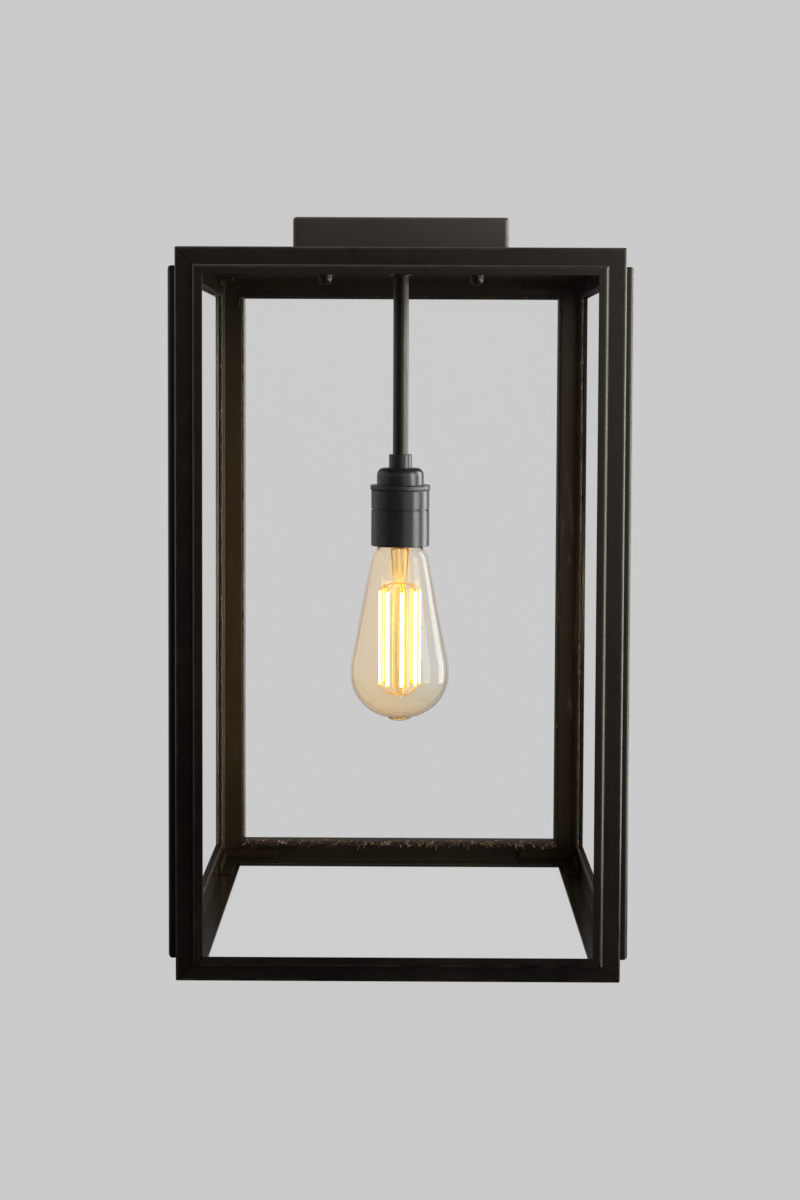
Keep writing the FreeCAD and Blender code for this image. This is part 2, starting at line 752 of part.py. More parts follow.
def build_drop_tube():
    tube = revolve("drop_tube", [("tube_bore / 2", "tube_end"), ("tube_radius", "tube_end"),
                                 ("tube_radius", "tube_top"), ("tube_bore / 2", "tube_top")])
    keep(tube, "drop_tube")
    nuts = []
    for name, up in (("upper", "box_floor"), ("lower", "plate_bottom - tube_nut_height")):
        nut = hex_nut("tube_nut_" + name, "tube_nut_width", "tube_nut_height", "tube_radius + thread_gap")
        nuts.append(place(nut, up=up))
    group("tube_locknuts", nuts)


def build_lampholder():
    inner_cap = "cap_radius - holder_wall"
    dome_low = "cap_top - cap_dome_round"
    shoulder = "cap_radius - cap_dome_round"
    socket = "tube_radius + thread_gap"
    collar = "collar_diameter / 2"
    cap = [(socket, "collar_top"), (socket, "tube_end"), ("tube_bore / 2", "tube_end"),
           ("tube_bore / 2", "cap_top - holder_wall"),
           (shoulder, "cap_top - holder_wall", "cap_dome_round - holder_wall", -1), (inner_cap, dome_low),
           (inner_cap, "insert_top"), ("cap_radius", "insert_top"),
           ("cap_radius", dome_low, "cap_dome_round", 1), (shoulder, "cap_top"), (collar, "cap_top"),
           (collar, "collar_top")]
    keep(revolve("lampholder_cap", cap), "lampholder_cap")

    hole = "cap_radius + fit_gap"
    keep(revolve("lampholder_ring", [
        (hole, "body_top"), ("ring_radius - ring_round", "body_top", "ring_round", 1),
        ("ring_radius", "body_top + ring_round"), ("ring_radius", "ring_top - ring_round", "ring_round", 1),
        ("ring_radius - ring_round", "ring_top"), (hole, "ring_top")]), "lampholder_ring")

    neck_end = "skirt_top - neck_engagement"
    keep(revolve("lampholder_body", [
        (hole, "body_top"), (hole, "insert_top"), ("bore_radius", "insert_top"), ("bore_radius", neck_end),
        ("neck_radius", neck_end), ("neck_radius", "groove_top"), ("holder_radius", "groove_top"),
        ("holder_radius", "body_top")]), "lampholder_body")

    keep(revolve("lampholder_skirt", [
        ("skirt_radius", "skirt_bottom"), ("holder_radius - skirt_lip", "skirt_bottom", "skirt_lip", 1),
        ("holder_radius", "skirt_bottom + skirt_lip"), ("holder_radius", "skirt_top"),
        ("skirt_radius", "skirt_top")]), "lampholder_skirt")

    insert = "bore_radius - fit_gap"
    keep(revolve("lampholder_insert", [
        ("0", "insert_bottom"), (insert, "insert_bottom"), (insert, "insert_top"), ("0", "insert_top")]),
        "lampholder_insert")

    sleeve_end = "skirt_bottom + sleeve_recess"
    sleeve = "sleeve_radius + sleeve_wall"
    keep(revolve("lampholder_sleeve", [
        ("sleeve_radius", sleeve_end), (sleeve, sleeve_end), (sleeve, "insert_bottom"),
        ("sleeve_radius", "insert_bottom")]), "lampholder_sleeve")


def build_contact():
    """Bent leaf under the insert that presses on the lamp's pip, and the two terminals above it."""
    body = new_body("lampholder_contact")
    drop = "contact_height - contact_thickness"
    bend = "contact_reach * 2 / 3"
    start = "contact_reach / 6"
    leaf = [("-contact_reach", "0"), ("-contact_reach", "-contact_thickness"),
            ("-(%s) - contact_thickness / 2" % bend, "-contact_thickness"),
            ("-(%s) - contact_thickness / 2" % start, "-contact_height"),
            ("contact_reach / 2", "-contact_height"), ("contact_reach / 2", "-(%s)" % drop),
            ("-(%s)" % start, "-(%s)" % drop), ("-(%s)" % bend, "0")]
    pad(body, new_sketch(body, "XZ_Plane", [leaf]), "contact_width", symmetric=True)
    keep(place(body, up="insert_bottom"), "lampholder_contact")
    posts = [rod("terminal_" + side, "terminal_diameter / 2", "terminal_height",
                 sign + "terminal_spacing / 2", "0", "insert_top")
             for side, sign in (("left", "-"), ("right", ""))]
    group("lampholder_terminals", posts)


# Lamp, measured downward from the top of its contact

def lamp_piece(label, corners):
    """Turned piece of the lamp, its outline given as (radius, distance below the contact's top)."""
    outline = [(corner[0], "-(%s)" % corner[1], *corner[2:]) for corner in corners]
    return keep(place(revolve(label, outline), up="lamp_top"), label)


def build_lamp_base():
    pip = "pip_diameter / 2"
    lamp_piece("lamp_contact", [("0", "pip_height"), (pip, "pip_height"), (pip, "pip_round", "pip_round", 1),
                                (pip + " - pip_round", "0"), ("0", "0")])
    wide = "insulator_width / 2"
    lamp_piece("lamp_insulator", [("0", "insulator_end"), (wide, "insulator_end"), (pip, "pip_height"),
                                  ("0", "pip_height")])
    thread = "cap_diameter / 2"
    roof = "insulator_end + cap_roof"
    lamp_piece("lamp_cap", [("0", roof), ("cap_bore", roof), ("cap_bore", "cap_end"), (thread, "cap_end"),
                            (thread, "insulator_end + cap_shoulder"), (wide, "insulator_end"),
                            ("0", "insulator_end")])


def build_lamp_glass():
    """Pear-shaped glass: neck, shoulder, cone, belly and round bottom with a sealed tip, one wall thick."""
    wall = " - glass_wall"
    outside = [("lamp_neck", "neck_start"), ("lamp_neck", "neck_end", "shoulder_round", -1),
               ("shoulder_radius", "shoulder_end"), ("cone_radius", "cone_end", "belly_round", -1),
               ("lamp_radius", "belly_drop", "bottom_round", -1), ("tip_radius", "tip_start"),
               ("tip_radius", "lamp_length - tip_height", "tip_round", -1), ("0", "lamp_length")]
    inside = [("0", "inner_bottom", "bottom_round" + wall, 1),
              ("lamp_radius" + wall, "belly_drop", "belly_round" + wall, 1),
              ("cone_radius" + wall, "cone_end"),
              ("shoulder_radius" + wall, "shoulder_end", "shoulder_round" + wall, 1),
              ("lamp_neck" + wall, "neck_end + glass_wall"), ("lamp_neck" + wall, "neck_start")]
    lamp_piece("lamp_glass", outside + inside)
    flare = "lamp_neck - glass_wall - fit_gap"
    stem = "stem_diameter / 2"
    thin = "rod_diameter / 2"
    flare_end = "neck_start + stem_flare"
    lamp_piece("lamp_stem", [("0", "stem_end_rod"), (thin, "stem_end_rod"), (thin, "stem_end + stem_pinch"),
                             (stem, "stem_end"), (stem, flare_end + " + stem_cone"), (flare, flare_end),
                             (flare, "neck_start"), ("0", "neck_start")])


def build_filaments():
    ring = number("filament_ring / 2")
    thin = number("rod_diameter / 2 + fit_gap")
    wire = number("support_wire / 2")
    top = number("lamp_top - filament_top")
    bottom = number("lamp_top - filament_top - filament_length")
    rise = number("support_rise")
    rods = []
    spokes = []
    for index in range(FILAMENTS):
        turn = FIRST_FILAMENT + FILAMENT_STEP * index
        angle = "%g deg" % turn
        rods.append(rod("filament_%d" % index, "filament_diameter / 2", "filament_length",
                        "filament_ring / 2 * cos(%s)" % angle, "filament_ring / 2 * sin(%s)" % angle,
                        "lamp_top - filament_top - filament_length"))
        way = turned(turn)
        for outer_z, inner_z, lift in ((top, top + rise, wire), (bottom, bottom - rise, -wire)):
            outer = way.multVec(FreeCAD.Vector(ring, 0, outer_z + 2 * lift))
            inner = way.multVec(FreeCAD.Vector(thin + wire, 0, inner_z + lift))
            spokes.append(Part.makeCylinder(wire, (inner - outer).Length, outer, inner - outer))
    group("filaments", rods)
    supports = document.addObject("Part::Feature", "filament_supports")
    supports.Shape = Part.makeCompound(spokes)
    keep(supports, "filament_supports")


def check_pieces():
    """Stop before anything is written if a feature failed or a shape isn't sound."""
    for thing in document.Objects:
        if any(word in state for state in thing.State for word in ("Invalid", "Error")):
            raise RuntimeError("%s failed: %s" % (thing.Label, thing.State))
    for piece in nodes:
        if piece.Shape.isNull() or not piece.Shape.isValid() or piece.Shape.Volume <= 0:
            raise RuntimeError("%s has no sound solid" % piece.Label)


build_frame()
build_top_plate()
build_gussets()
build_bead_frames()
build_glazing()
build_mounting_box()
build_ceiling_strap()
build_studs()
build_terminal_block()
build_earth_screw()
build_wires()
build_drop_tube()
build_lampholder()
build_contact()
build_lamp_base()
build_lamp_glass()
build_filaments()
document.recompute()
check_pieces()

os.makedirs("parts", exist_ok=True)
for piece in nodes:
    piece.Shape.exportStep("parts/%s.step" % piece.Label)
print("%d pieces written" % len(nodes))
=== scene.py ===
import math

import bmesh
import bpy
import numpy as np
from mathutils import Matrix, Vector


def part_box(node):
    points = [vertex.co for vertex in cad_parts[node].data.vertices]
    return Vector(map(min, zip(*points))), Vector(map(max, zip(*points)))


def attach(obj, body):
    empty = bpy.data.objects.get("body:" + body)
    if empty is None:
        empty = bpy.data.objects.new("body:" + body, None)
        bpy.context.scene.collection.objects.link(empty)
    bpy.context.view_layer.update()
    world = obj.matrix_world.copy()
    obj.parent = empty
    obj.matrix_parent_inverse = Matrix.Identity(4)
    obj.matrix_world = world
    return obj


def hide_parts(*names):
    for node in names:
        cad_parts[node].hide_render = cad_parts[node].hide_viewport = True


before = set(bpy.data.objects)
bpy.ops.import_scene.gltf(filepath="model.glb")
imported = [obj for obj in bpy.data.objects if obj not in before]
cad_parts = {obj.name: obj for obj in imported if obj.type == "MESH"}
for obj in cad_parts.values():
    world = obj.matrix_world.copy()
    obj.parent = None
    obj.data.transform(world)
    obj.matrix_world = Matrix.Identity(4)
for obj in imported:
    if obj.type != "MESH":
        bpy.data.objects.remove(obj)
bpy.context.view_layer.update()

# Box lantern for a porch ceiling. Metres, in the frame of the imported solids: -Y is the front, +Z is up, and
# the origin is the middle of the mounting box's rim.
MM = 0.001
TURN = 2 * math.pi
QUARTER = math.pi / 2
SHARP_ANGLE = math.radians(32)
WELD = 1e-6
TURNED_SIDES = 96

# Places read from the frame.
POST_LOW, POST_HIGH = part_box("corner_post_front_right")
HALF = POST_HIGH.x
TOP = POST_HIGH.z
BOTTOM = POST_LOW.z
MIDDLE = (TOP + BOTTOM) / 2
HALF_HEIGHT = (TOP - BOTTOM) / 2
LEG = POST_HIGH.x - POST_LOW.x
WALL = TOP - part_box("top_plate")[1].z
PANE_LOW, PANE_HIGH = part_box("glass_pane_back")
PANE_INSET = HALF - PANE_HIGH.x
PANE_FACE = PANE_HIGH.y
LAMP_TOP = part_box("lamp_contact")[1].z
LAMP_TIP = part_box("lamp_glass")[0].z
STEM_LOW, STEM_HIGH = (corner.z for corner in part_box("lamp_stem"))
FILAMENT_LOW, FILAMENT_HIGH = (corner.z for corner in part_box("filaments"))

# Each face of the lantern with its outward direction and the way that runs left to right along it, seen from
# outside.
FACES = {
    "front": (Vector((0, -1, 0)), Vector((1, 0, 0))),
    "right": (Vector((1, 0, 0)), Vector((0, 1, 0))),
    "back": (Vector((0, 1, 0)), Vector((-1, 0, 0))),
    "left": (Vector((-1, 0, 0)), Vector((0, -1, 0))),
}
CORNERS = {"front_left": (-1, -1), "front_right": (1, -1), "back_right": (1, 1), "back_left": (-1, 1)}
UP = Vector((0, 0, 1))

# Finishing sizes that the solids leave plain.
ARRIS = 1.4 * MM
LEG_EDGE = 0.35 * MM
ROOT_FILLET = 0.4 * MM
EDGE_MARGIN = 0.55 * MM
MITRE_GAP = 0.05 * MM
MITRE_LINE = 0.4 * MM
MITRE_FADE = 1.2 * MM
CORNER_FADE = 75 * MM
RING_MARGIN = 0.25 * MM


def grid_quads(rows, columns, wrap_rows):
    """Quads between neighbouring rows and columns of a grid. The last column joins on to the first, and so
    does the last row where rows wrap."""
    row = np.arange(rows if wrap_rows else rows - 1)[:, None]
    column = np.arange(columns)[None, :]
    below = (row + 1) % rows * columns
    beside = (column + 1) % columns
    above = row * columns
    return np.stack([above + column, above + beside, below + beside, below + column], axis=-1).reshape(-1, 4)


def patch(points, wrap_rows=False, capped=False, **marks):
    """A grid of points as one closed surface. Marks are named values spread over the grid."""
    rows, columns = points.shape[:2]
    ends = [np.arange(columns)[::-1], np.arange(columns) + (rows - 1) * columns] if capped else []
    return {
        "points": points.reshape(-1, 3),
        "quads": grid_quads(rows, columns, wrap_rows),
        "caps": ends,
        "marks": {name: np.broadcast_to(mark, (rows, columns)).reshape(-1) for name, mark in marks.items()},
    }


def fill_mesh(mesh, patches):
    """Put the patches into a mesh as whole arrays, weld their poles and turn their faces outwards."""
    starts = np.cumsum([0] + [len(part["points"]) for part in patches])[:-1]
    points = np.concatenate([part["points"] for part in patches])
    quads = np.concatenate([part["quads"] + start for part, start in zip(patches, starts)])
    caps = [cap + start for part, start in zip(patches, starts) for cap in part["caps"]]
    sizes = np.concatenate([np.full(len(quads), 4), np.array([len(cap) for cap in caps], int)]).astype(int)
    loops = np.concatenate([quads.ravel()] + caps)
    mesh.vertices.add(len(points))
    mesh.vertices.foreach_set("co", points.astype(np.float32).ravel())
    mesh.loops.add(len(loops))
    mesh.loops.foreach_set("vertex_index", loops.astype(np.int32))
    mesh.polygons.add(len(sizes))
    mesh.polygons.foreach_set("loop_start", (np.cumsum(sizes) - sizes).astype(np.int32))
    mesh.update(calc_edges=True)
    for name in sorted({name for part in patches for name in part["marks"]}):
        mark = [part["marks"].get(name, np.zeros(len(part["points"]))) for part in patches]
        layer = mesh.attributes.new(name, "FLOAT", "POINT")
        layer.data.foreach_set("value", np.concatenate(mark).astype(np.float32))
    shell = bmesh.new()
    shell.from_mesh(mesh)
    bmesh.ops.remove_doubles(shell, verts=shell.verts, dist=WELD)
    bmesh.ops.recalc_face_normals(shell, faces=shell.faces)
    shell.to_mesh(mesh)
    shell.free()
    mesh.polygons.foreach_set("use_smooth", np.ones(len(mesh.polygons), bool))
    mesh.set_sharp_from_angle(angle=SHARP_ANGLE)


def into_scene(name, data):
    """An object at the origin with this data."""
    thing = bpy.data.objects.new(name, data)
    bpy.context.scene.collection.objects.link(thing)
    return thing


def new_object(name, patches, material):
    """An object whose mesh is made from patches, with its finish."""
    mesh = bpy.data.meshes.new(name)
    fill_mesh(mesh, patches)
    mesh.materials.append(material)
    return into_scene(name, mesh)


def new_piece(name, patches, slot, node, material=None, body="lantern"):
    """A piece of the lantern or its lamp, riding on a body and standing for the solid that it replaces. Its
    material is the slot's own finish unless another is given."""
    piece = new_object(name, patches, material or FINISHES[slot])
    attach(piece, body)
    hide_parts(node)


def rounded_outline(corners, radii, margin=EDGE_MARGIN, steps=6):
    """A closed outline of square corners. Each corner is a quarter circle of its own radius with one more
    point a margin away on both sides. Also returns a mark that is 1 on the quarter circles and 0 at the
    margins."""
    at = np.asarray(corners, float)[:, None]
    arriving = at - np.roll(at, 1, axis=0)
    arriving = arriving / np.linalg.norm(arriving, axis=2, keepdims=True)
    leaving = np.roll(arriving, -1, axis=0)
    radius = np.asarray(radii, float)[:, None, None]
    angle = np.linspace(0, QUARTER, steps)[None, :, None]
    arcs = at + radius * (leaving * (1 - np.cos(angle)) - arriving * (1 - np.sin(angle)))
    before = at - arriving * (radius + margin)
    after = at + leaving * (radius + margin)
    points = np.concatenate([before, arcs, after], axis=1)
    mark = np.zeros(points.shape[:2])
    mark[:, 1:-1] = 1
    return points.reshape(-1, 2), mark.reshape(-1)


def arc(start, end, radius, steps):
    """The shorter circular arc from one (radius, height) point down to another, bulging away from the
    axis."""
    start, end = np.array(start), np.array(end)
    chord = end - start
    length = np.hypot(*chord)
    outward = np.array([-chord[1], chord[0]]) / length
    centre = (start + end) / 2 - outward * math.sqrt(radius ** 2 - length ** 2 / 4)
    first, last = (math.atan2(spot[1], spot[0]) for spot in (start - centre, end - centre))
    sweep = (last - first + math.pi) % TURN - math.pi
    angle = first + sweep * np.linspace(0, 1, steps)
    return centre + radius * np.stack([np.cos(angle), np.sin(angle)], axis=1)


def angles_round(sides):
    """Equal steps round a whole turn."""
    return np.arange(sides) * TURN / sides


def round_axis(radius, height, centre=(0, 0)):
    """Points at a radius and a height for each step round an upright axis. Columns are the steps."""
    radius, height = np.broadcast_arrays(radius, height)
    angle = angles_round(radius.shape[1])
    return np.stack([centre[0] + radius * np.cos(angle), centre[1] + radius * np.sin(angle), height], axis=-1)


def turned(profile, centre=(0, 0), sides=TURNED_SIDES, wrap=False, edge=0.0, ripple=0.0, **marks):
    """A profile of (radius, height) points carried round an upright axis. Ripple adds to the radius at each
    point."""
    profile = np.asarray(profile, float)
    radius = np.broadcast_to(profile[:, :1] + ripple, (len(profile), sides))
    points = round_axis(radius, profile[:, 1:], centre)
    return patch(points, wrap_rows=wrap, edge=np.reshape(edge, (-1, 1)), **marks)


def turned_ring(corners, radii):
    """A square-cornered section with rounded edges, carried round the lantern's axis. Radii are in
    millimetres."""
    outline, edge = rounded_outline(corners, np.array(radii) * MM, RING_MARGIN)
    return turned(outline, wrap=True, edge=edge)


def sleeve(inner, outer, high, low):
    """The four corners of a tube's wall, as (radius, height)."""
    return (inner, high), (outer, high), (outer, low), (inner, low)


def wire(path, radius, sides=8, taper=1.0):
    """A circle carried along a path of points, square to the path, with its radius multiplied by taper."""
    path = np.asarray(path, float)
    along = np.gradient(path, axis=0)
    along /= np.linalg.norm(along, axis=1, keepdims=True)
    least = np.eye(3)[np.abs(along).max(axis=0).argmin()]
    across = np.cross(along, least)
    across /= np.linalg.norm(across, axis=1, keepdims=True)
    third = np.cross(along, across)
    angle = angles_round(sides)[None, :, None]
    size = radius * np.reshape(taper, (-1, 1, 1))
    points = path[:, None] + size * (across[:, None] * np.cos(angle) + third[:, None] * np.sin(angle))
    return patch(points, capped=True)


WAVES = 40


def unevenness(count, seed, span):
    """Repeatable unevenness along a closed line, from 0 to 1, as a column: whole cosine waves with drawn
    phases, added up, where a wave that comes round k times has a height of one over the root of k."""
    draw = np.random.default_rng(seed)
    turns = draw.integers(*span, WAVES)[:, None]
    phase = draw.uniform(0, TURN, WAVES)[:, None]
    total = (np.cos(TURN * turns * np.arange(count) / count + phase) / np.sqrt(turns)).sum(axis=0)
    return ((total - total.min()) / (total.max() - total.min()))[:, None]


def put(tree, socket, value):
    """Link a socket to the value where that is a socket too, and otherwise set it."""
    if isinstance(value, bpy.types.NodeSocket):
        tree.links.new(value, socket)
    else:
        socket.default_value = value


def feed(tree, node, **inputs):
    """Give a node its inputs, by name with underscores for spaces."""
    for key, value in inputs.items():
        put(tree, node.inputs[key.replace("_", " ")], value)
    return node


def add(tree, kind, settings=(), **inputs):
    """A shader node with its settings and inputs."""
    node = tree.nodes.new("ShaderNode" + kind)
    for key, value in dict(settings).items():
        setattr(node, key, value)
    return feed(tree, node, **inputs)


def calc(tree, operation, first, second):
    """A sum, a product or another operation on two values."""
    node = add(tree, "Math", {"operation": operation})
    put(tree, node.inputs[0], first)
    put(tree, node.inputs[1], second)
    return node.outputs[0]


def times(tree, first, second):
    """The product of two values."""
    return calc(tree, "MULTIPLY", first, second)


def rest_of(tree, share):
    """What a share leaves of one."""
    return calc(tree, "SUBTRACT", 1.0, share)


def between(tree, share, first, second):
    """A value between two values: the share of the second, and the rest of the first."""
    return calc(tree, "ADD", times(tree, share, second), times(tree, rest_of(tree, share), first))


def mixed(tree, share, first, second):
    """A colour between two colours."""
    node = add(tree, "Mix", {"data_type": "RGBA"})
    for place, value in ((0, share), (6, first), (7, second)):
        put(tree, node.inputs[place], value)
    return node.outputs[2]


def blended(tree, share, first, second):
    """A shader between two shaders."""
    node = add(tree, "MixShader", Fac=share)
    put(tree, node.inputs[1], first)
    put(tree, node.inputs[2], second)
    return node.outputs[0]


def ranged(tree, value, low, high, to_low=0.0, to_high=1.0):
    """A value's span from low to high carried to another span, held at its ends."""
    node = add(tree, "MapRange", Value=value, From_Min=low, From_Max=high, To_Min=to_low, To_Max=to_high)
    return node.outputs[0]


def scaled(tree, share, at_none, at_full):
    """A share from 0 to 1 carried to the span between two values."""
    return ranged(tree, share, 0.0, 1.0, at_none, at_full)


def marked(tree, name):
    """A mark of the piece's own mesh."""
    return add(tree, "Attribute", {"attribute_name": name}).outputs["Fac"]


def coordinates(tree, kind="Object"):
    """The place on a piece in its own coordinates, its normal, or the way that a ray goes into the world."""
    return add(tree, "TexCoord").outputs[kind]


def parts_of(tree, vector):
    """A vector's X, Y and Z."""
    return add(tree, "SeparateXYZ", Vector=vector).outputs


def clouds(tree, place, scale, detail):
    """Soft noise, which comes round about scale times in a metre."""
    return add(tree, "TexNoise", Vector=place, Scale=scale, Detail=detail).outputs[0]


def streaks(tree, scale, detail):
    """Noise on Object coordinates that are scaled along each axis, so that it is drawn out along some."""
    drawn = add(tree, "Mapping", Vector=coordinates(tree), Scale=scale).outputs[0]
    return clouds(tree, drawn, 1.0, detail)


def rgb(red, green, blue):
    """A full colour."""
    return (red, green, blue, 1.0)


def new_group(name, inputs, outputs):
    """An empty shader node group with named sockets; inputs give their first values."""
    tree = bpy.data.node_groups.new(name, "ShaderNodeTree")
    for label, first in inputs.items():
        socket = tree.interface.new_socket(label, in_out="INPUT", socket_type="NodeSocketFloat")
        socket.default_value = first
    for label in outputs:
        tree.interface.new_socket(label, in_out="OUTPUT", socket_type="NodeSocketFloat")
    entry = tree.nodes.new("NodeGroupInput")
    leave = tree.nodes.new("NodeGroupOutput")
    return tree, entry.outputs, leave


def surface_noise():
    """Unevenness on Object coordinates at three sizes: clouds a few centimetres wide, mottle and fine
    grain."""
    tree, given, result = new_group("surface_noise", {"Size": 1.0}, ("Cloud", "Mottle", "Grain"))
    place = coordinates(tree)
    for label, scale, detail in (("Cloud", 16.0, 3.0), ("Mottle", 120.0, 6.0), ("Grain", 1500.0, 2.0)):
        noise = clouds(tree, place, times(tree, given["Size"], scale), detail)
        feed(tree, result, **{label: ranged(tree, noise, 0.3, 0.7)})
    return tree


def edge_wear():
    """Where rubbing has thinned the finish: the edge mark, broken up by noise."""
    tree, given, result = new_group("edge_wear", {"Amount": 1.0}, ("Worn",))
    noise = clouds(tree, coordinates(tree), 90.0, 5.0)
    broken = times(tree, marked(tree, "edge"), ranged(tree, noise, 0.35, 0.65))
    feed(tree, result, Worn=times(tree, broken, given["Amount"]))
    return tree


def pale_smears():
    """Where compound was wiped along a face and left a pale film: noise drawn out upright, only its highest
    parts."""
    tree, given, result = new_group("pale_smears", {"Amount": 1.0}, ("Smeared",))
    patchy = clouds(tree, coordinates(tree), 22.0, 2.0)
    streak = streaks(tree, (260.0, 260.0, 34.0), 4.0)
    share = times(tree, ranged(tree, streak, 0.58, 0.74), ranged(tree, patchy, 0.52, 0.66))
    feed(tree, result, Smeared=times(tree, share, given["Amount"]))
    return tree


NOISE = surface_noise()
WEAR = edge_wear()
SMEAR = pale_smears()
FINE_GRAIN = (0.06, 0.10 * MM)


def use(tree, group, **inputs):
    """Place a group with its own values, and give its outputs."""
    node = tree.nodes.new("ShaderNodeGroup")
    node.node_tree = group
    return feed(tree, node, **inputs).outputs


def new_material(name):
    """A material with its shader, and nothing else."""
    material = bpy.data.materials.new(name)
    material.use_nodes = True
    tree = material.node_tree
    return material, tree, tree.nodes["Principled BSDF"]


def bumped(tree, height, strength, depth):
    """A normal that follows a height, at most depth high."""
    return add(tree, "Bump", Strength=strength, Distance=depth, Height=height).outputs["Normal"]


def patinated_brass(name="patinated_brass", dark=rgb(0.0045, 0.0032, 0.0024), warm=rgb(0.010, 0.0072, 0.0050),
                    shine=(0.30, 0.38), inside=0.0, mirror=0.90):
    """Dark brown-black patina on brass: satin and slightly cloudy, rubbed a little at the edges, olive brown
    on the faces inside the angle, less so near its ends, where it also has pale smears, with a fine dark line
    at the mitres. With inside above 0 the whole piece is that brown, least where it faces up."""
    material, tree, shader = new_material(name)
    noise = use(tree, NOISE)
    within = times(tree, marked(tree, "inside"), scaled(tree, marked(tree, "corner"), 1.0, 0.5))
    if inside:
        facing = parts_of(tree, coordinates(tree, "Normal"))["Z"]
        within = calc(tree, "MAXIMUM", within, ranged(tree, facing, 0.9, 0.1, 0.3 * inside, inside))
    colour = mixed(tree, noise["Cloud"], dark, warm)
    brown = mixed(tree, noise["Cloud"], rgb(0.034, 0.020, 0.005), rgb(0.048, 0.027, 0.007))
    brown = mixed(tree, use(tree, SMEAR)["Smeared"], brown, rgb(0.12, 0.10, 0.08))
    colour = mixed(tree, within, colour, brown)
    colour = mixed(tree, use(tree, WEAR, Amount=0.18)["Worn"], colour, rgb(0.16, 0.13, 0.09))
    colour = mixed(tree, times(tree, marked(tree, "seam"), 0.8), colour, rgb(0.002, 0.0015, 0.001))
    rough = scaled(tree, noise["Mottle"], *shine)
    for mark, smoother in (("edge", 0.14), ("wiped", 0.12)):
        rough = calc(tree, "SUBTRACT", rough, times(tree, marked(tree, mark), smoother))
    feed(tree, shader, Base_Color=colour, Roughness=rough, Specular_IOR_Level=mirror,
         Specular_Tint=rgb(1.0, 0.88, 0.74), Normal=bumped(tree, noise["Grain"], *FINE_GRAIN))
    return material


def black_lampholder():
    """Satin black enamel, a little warm, with a fine orange-peel surface and rubbed edges."""
    material, tree, shader = new_material("black_lampholder")
    noise = use(tree, NOISE, Size=1.6)
    colour = mixed(tree, noise["Cloud"], rgb(0.025, 0.0228, 0.0205), rgb(0.029, 0.0264, 0.0236))
    colour = mixed(tree, use(tree, WEAR, Amount=0.15)["Worn"], colour, rgb(0.10, 0.09, 0.08))
    feed(tree, shader, Base_Color=colour, Roughness=scaled(tree, noise["Cloud"], 0.27, 0.30),
         Specular_IOR_Level=0.70, Normal=bumped(tree, noise["Grain"], 0.02, 0.04 * MM))
    return material


def surface(tree, shader):
    """Make this shader the material's surface."""
    feed(tree, tree.nodes["Material Output"], Surface=shader)


def see_through(tree, shader, tint):
    """Glass that lets lamp light through to what is behind it."""
    clear = add(tree, "BsdfTransparent", Color=tint).outputs[0]
    surface(tree, blended(tree, add(tree, "LightPath").outputs["Is Shadow Ray"], shader.outputs[0], clear))


def clear_glass():
    """Drawn window glass. What is behind it shifts a little towards a glancing view, and the side that faces
    the viewer has a faint mirror film. Light goes straight through."""
    material, tree, shader = new_material("clear_glass")
    cloud = use(tree, NOISE, Size=0.5)["Cloud"]
    feed(tree, shader, Base_Color=mixed(tree, cloud, rgb(0.98, 0.99, 0.985), rgb(0.93, 0.96, 0.95)),
         Roughness=scaled(tree, cloud, 0.0, 0.03), Metallic=1.0)
    path = add(tree, "LightPath").outputs
    bends = calc(tree, "MAXIMUM", path["Is Camera Ray"], path["Is Transmission Ray"])
    straight = add(tree, "BsdfTransparent", Color=rgb(1.0, 1.0, 1.0)).outputs[0]
    bent = add(tree, "BsdfRefraction", Color=rgb(0.993, 0.993, 0.993), Roughness=0.0, IOR=1.5).outputs[0]
    through = blended(tree, bends, straight, bent)
    glance = add(tree, "LayerWeight", Blend=0.5).outputs["Facing"]
    front = rest_of(tree, add(tree, "NewGeometry").outputs["Backfacing"])
    lit = rest_of(tree, path["Is Shadow Ray"])
    film = times(tree, ranged(tree, glance, 0.3, 0.9, 0.02, 0.05), times(tree, front, lit))
    surface(tree, blended(tree, film, through, shader.outputs[0]))
    return material


def amber_glass():
    """Thin lamp glass with a gold tint that deepens towards the sealed tip and where the wall is seen edge
    on. Its side towards +X is paler, a painted reflection of the light from that side, and it has a faint
    painted glow, orange towards -X and grey towards +X, that stands in for the filaments' light in the glass."""
    material, tree, shader = new_material("amber_glass")
    noise = use(tree, NOISE, Size=0.7)
    place = parts_of(tree, coordinates(tree))
    near_tip = ranged(tree, place["Z"], LAMP_TIP + 30 * MM, LAMP_TIP + 3 * MM)
    at_tip = ranged(tree, place["Z"], LAMP_TIP + 7 * MM, LAMP_TIP + 1 * MM)
    rim = ranged(tree, add(tree, "LayerWeight", Blend=0.5).outputs["Facing"], 0.5, 0.9)
    colour = mixed(tree, noise["Cloud"], rgb(1.0, 0.945, 0.82), rgb(1.0, 0.93, 0.79))
    # Painted reflection: the glass is paler on its side towards +X, standing in for the light from that side.
    for share, tint in ((ranged(tree, place["X"], -5 * MM, 22 * MM), rgb(1.0, 0.975, 0.93)),
                        (near_tip, rgb(0.985, 0.88, 0.68)),
                        (at_tip, rgb(0.90, 0.72, 0.50)),
                        (rim, rgb(0.97, 0.84, 0.66))):
        colour = mixed(tree, share, colour, tint)
    # Painted glow: a faint emission, orange towards -X and grey towards +X, standing in for the filaments'
    # light in the glass.
    painted_glow_side = ranged(tree, place["X"], -8 * MM, 16 * MM)
    painted_glow_colour = mixed(tree, painted_glow_side, rgb(1.0, 0.48, 0.22), rgb(0.10, 0.10, 0.12))
    feed(tree, shader, Base_Color=colour, Emission_Color=painted_glow_colour, Emission_Strength=0.026, Roughness=0.0,
         IOR=1.32, Transmission_Weight=1.0)
    see_through(tree, shader, rgb(0.98, 0.88, 0.72))
    return material


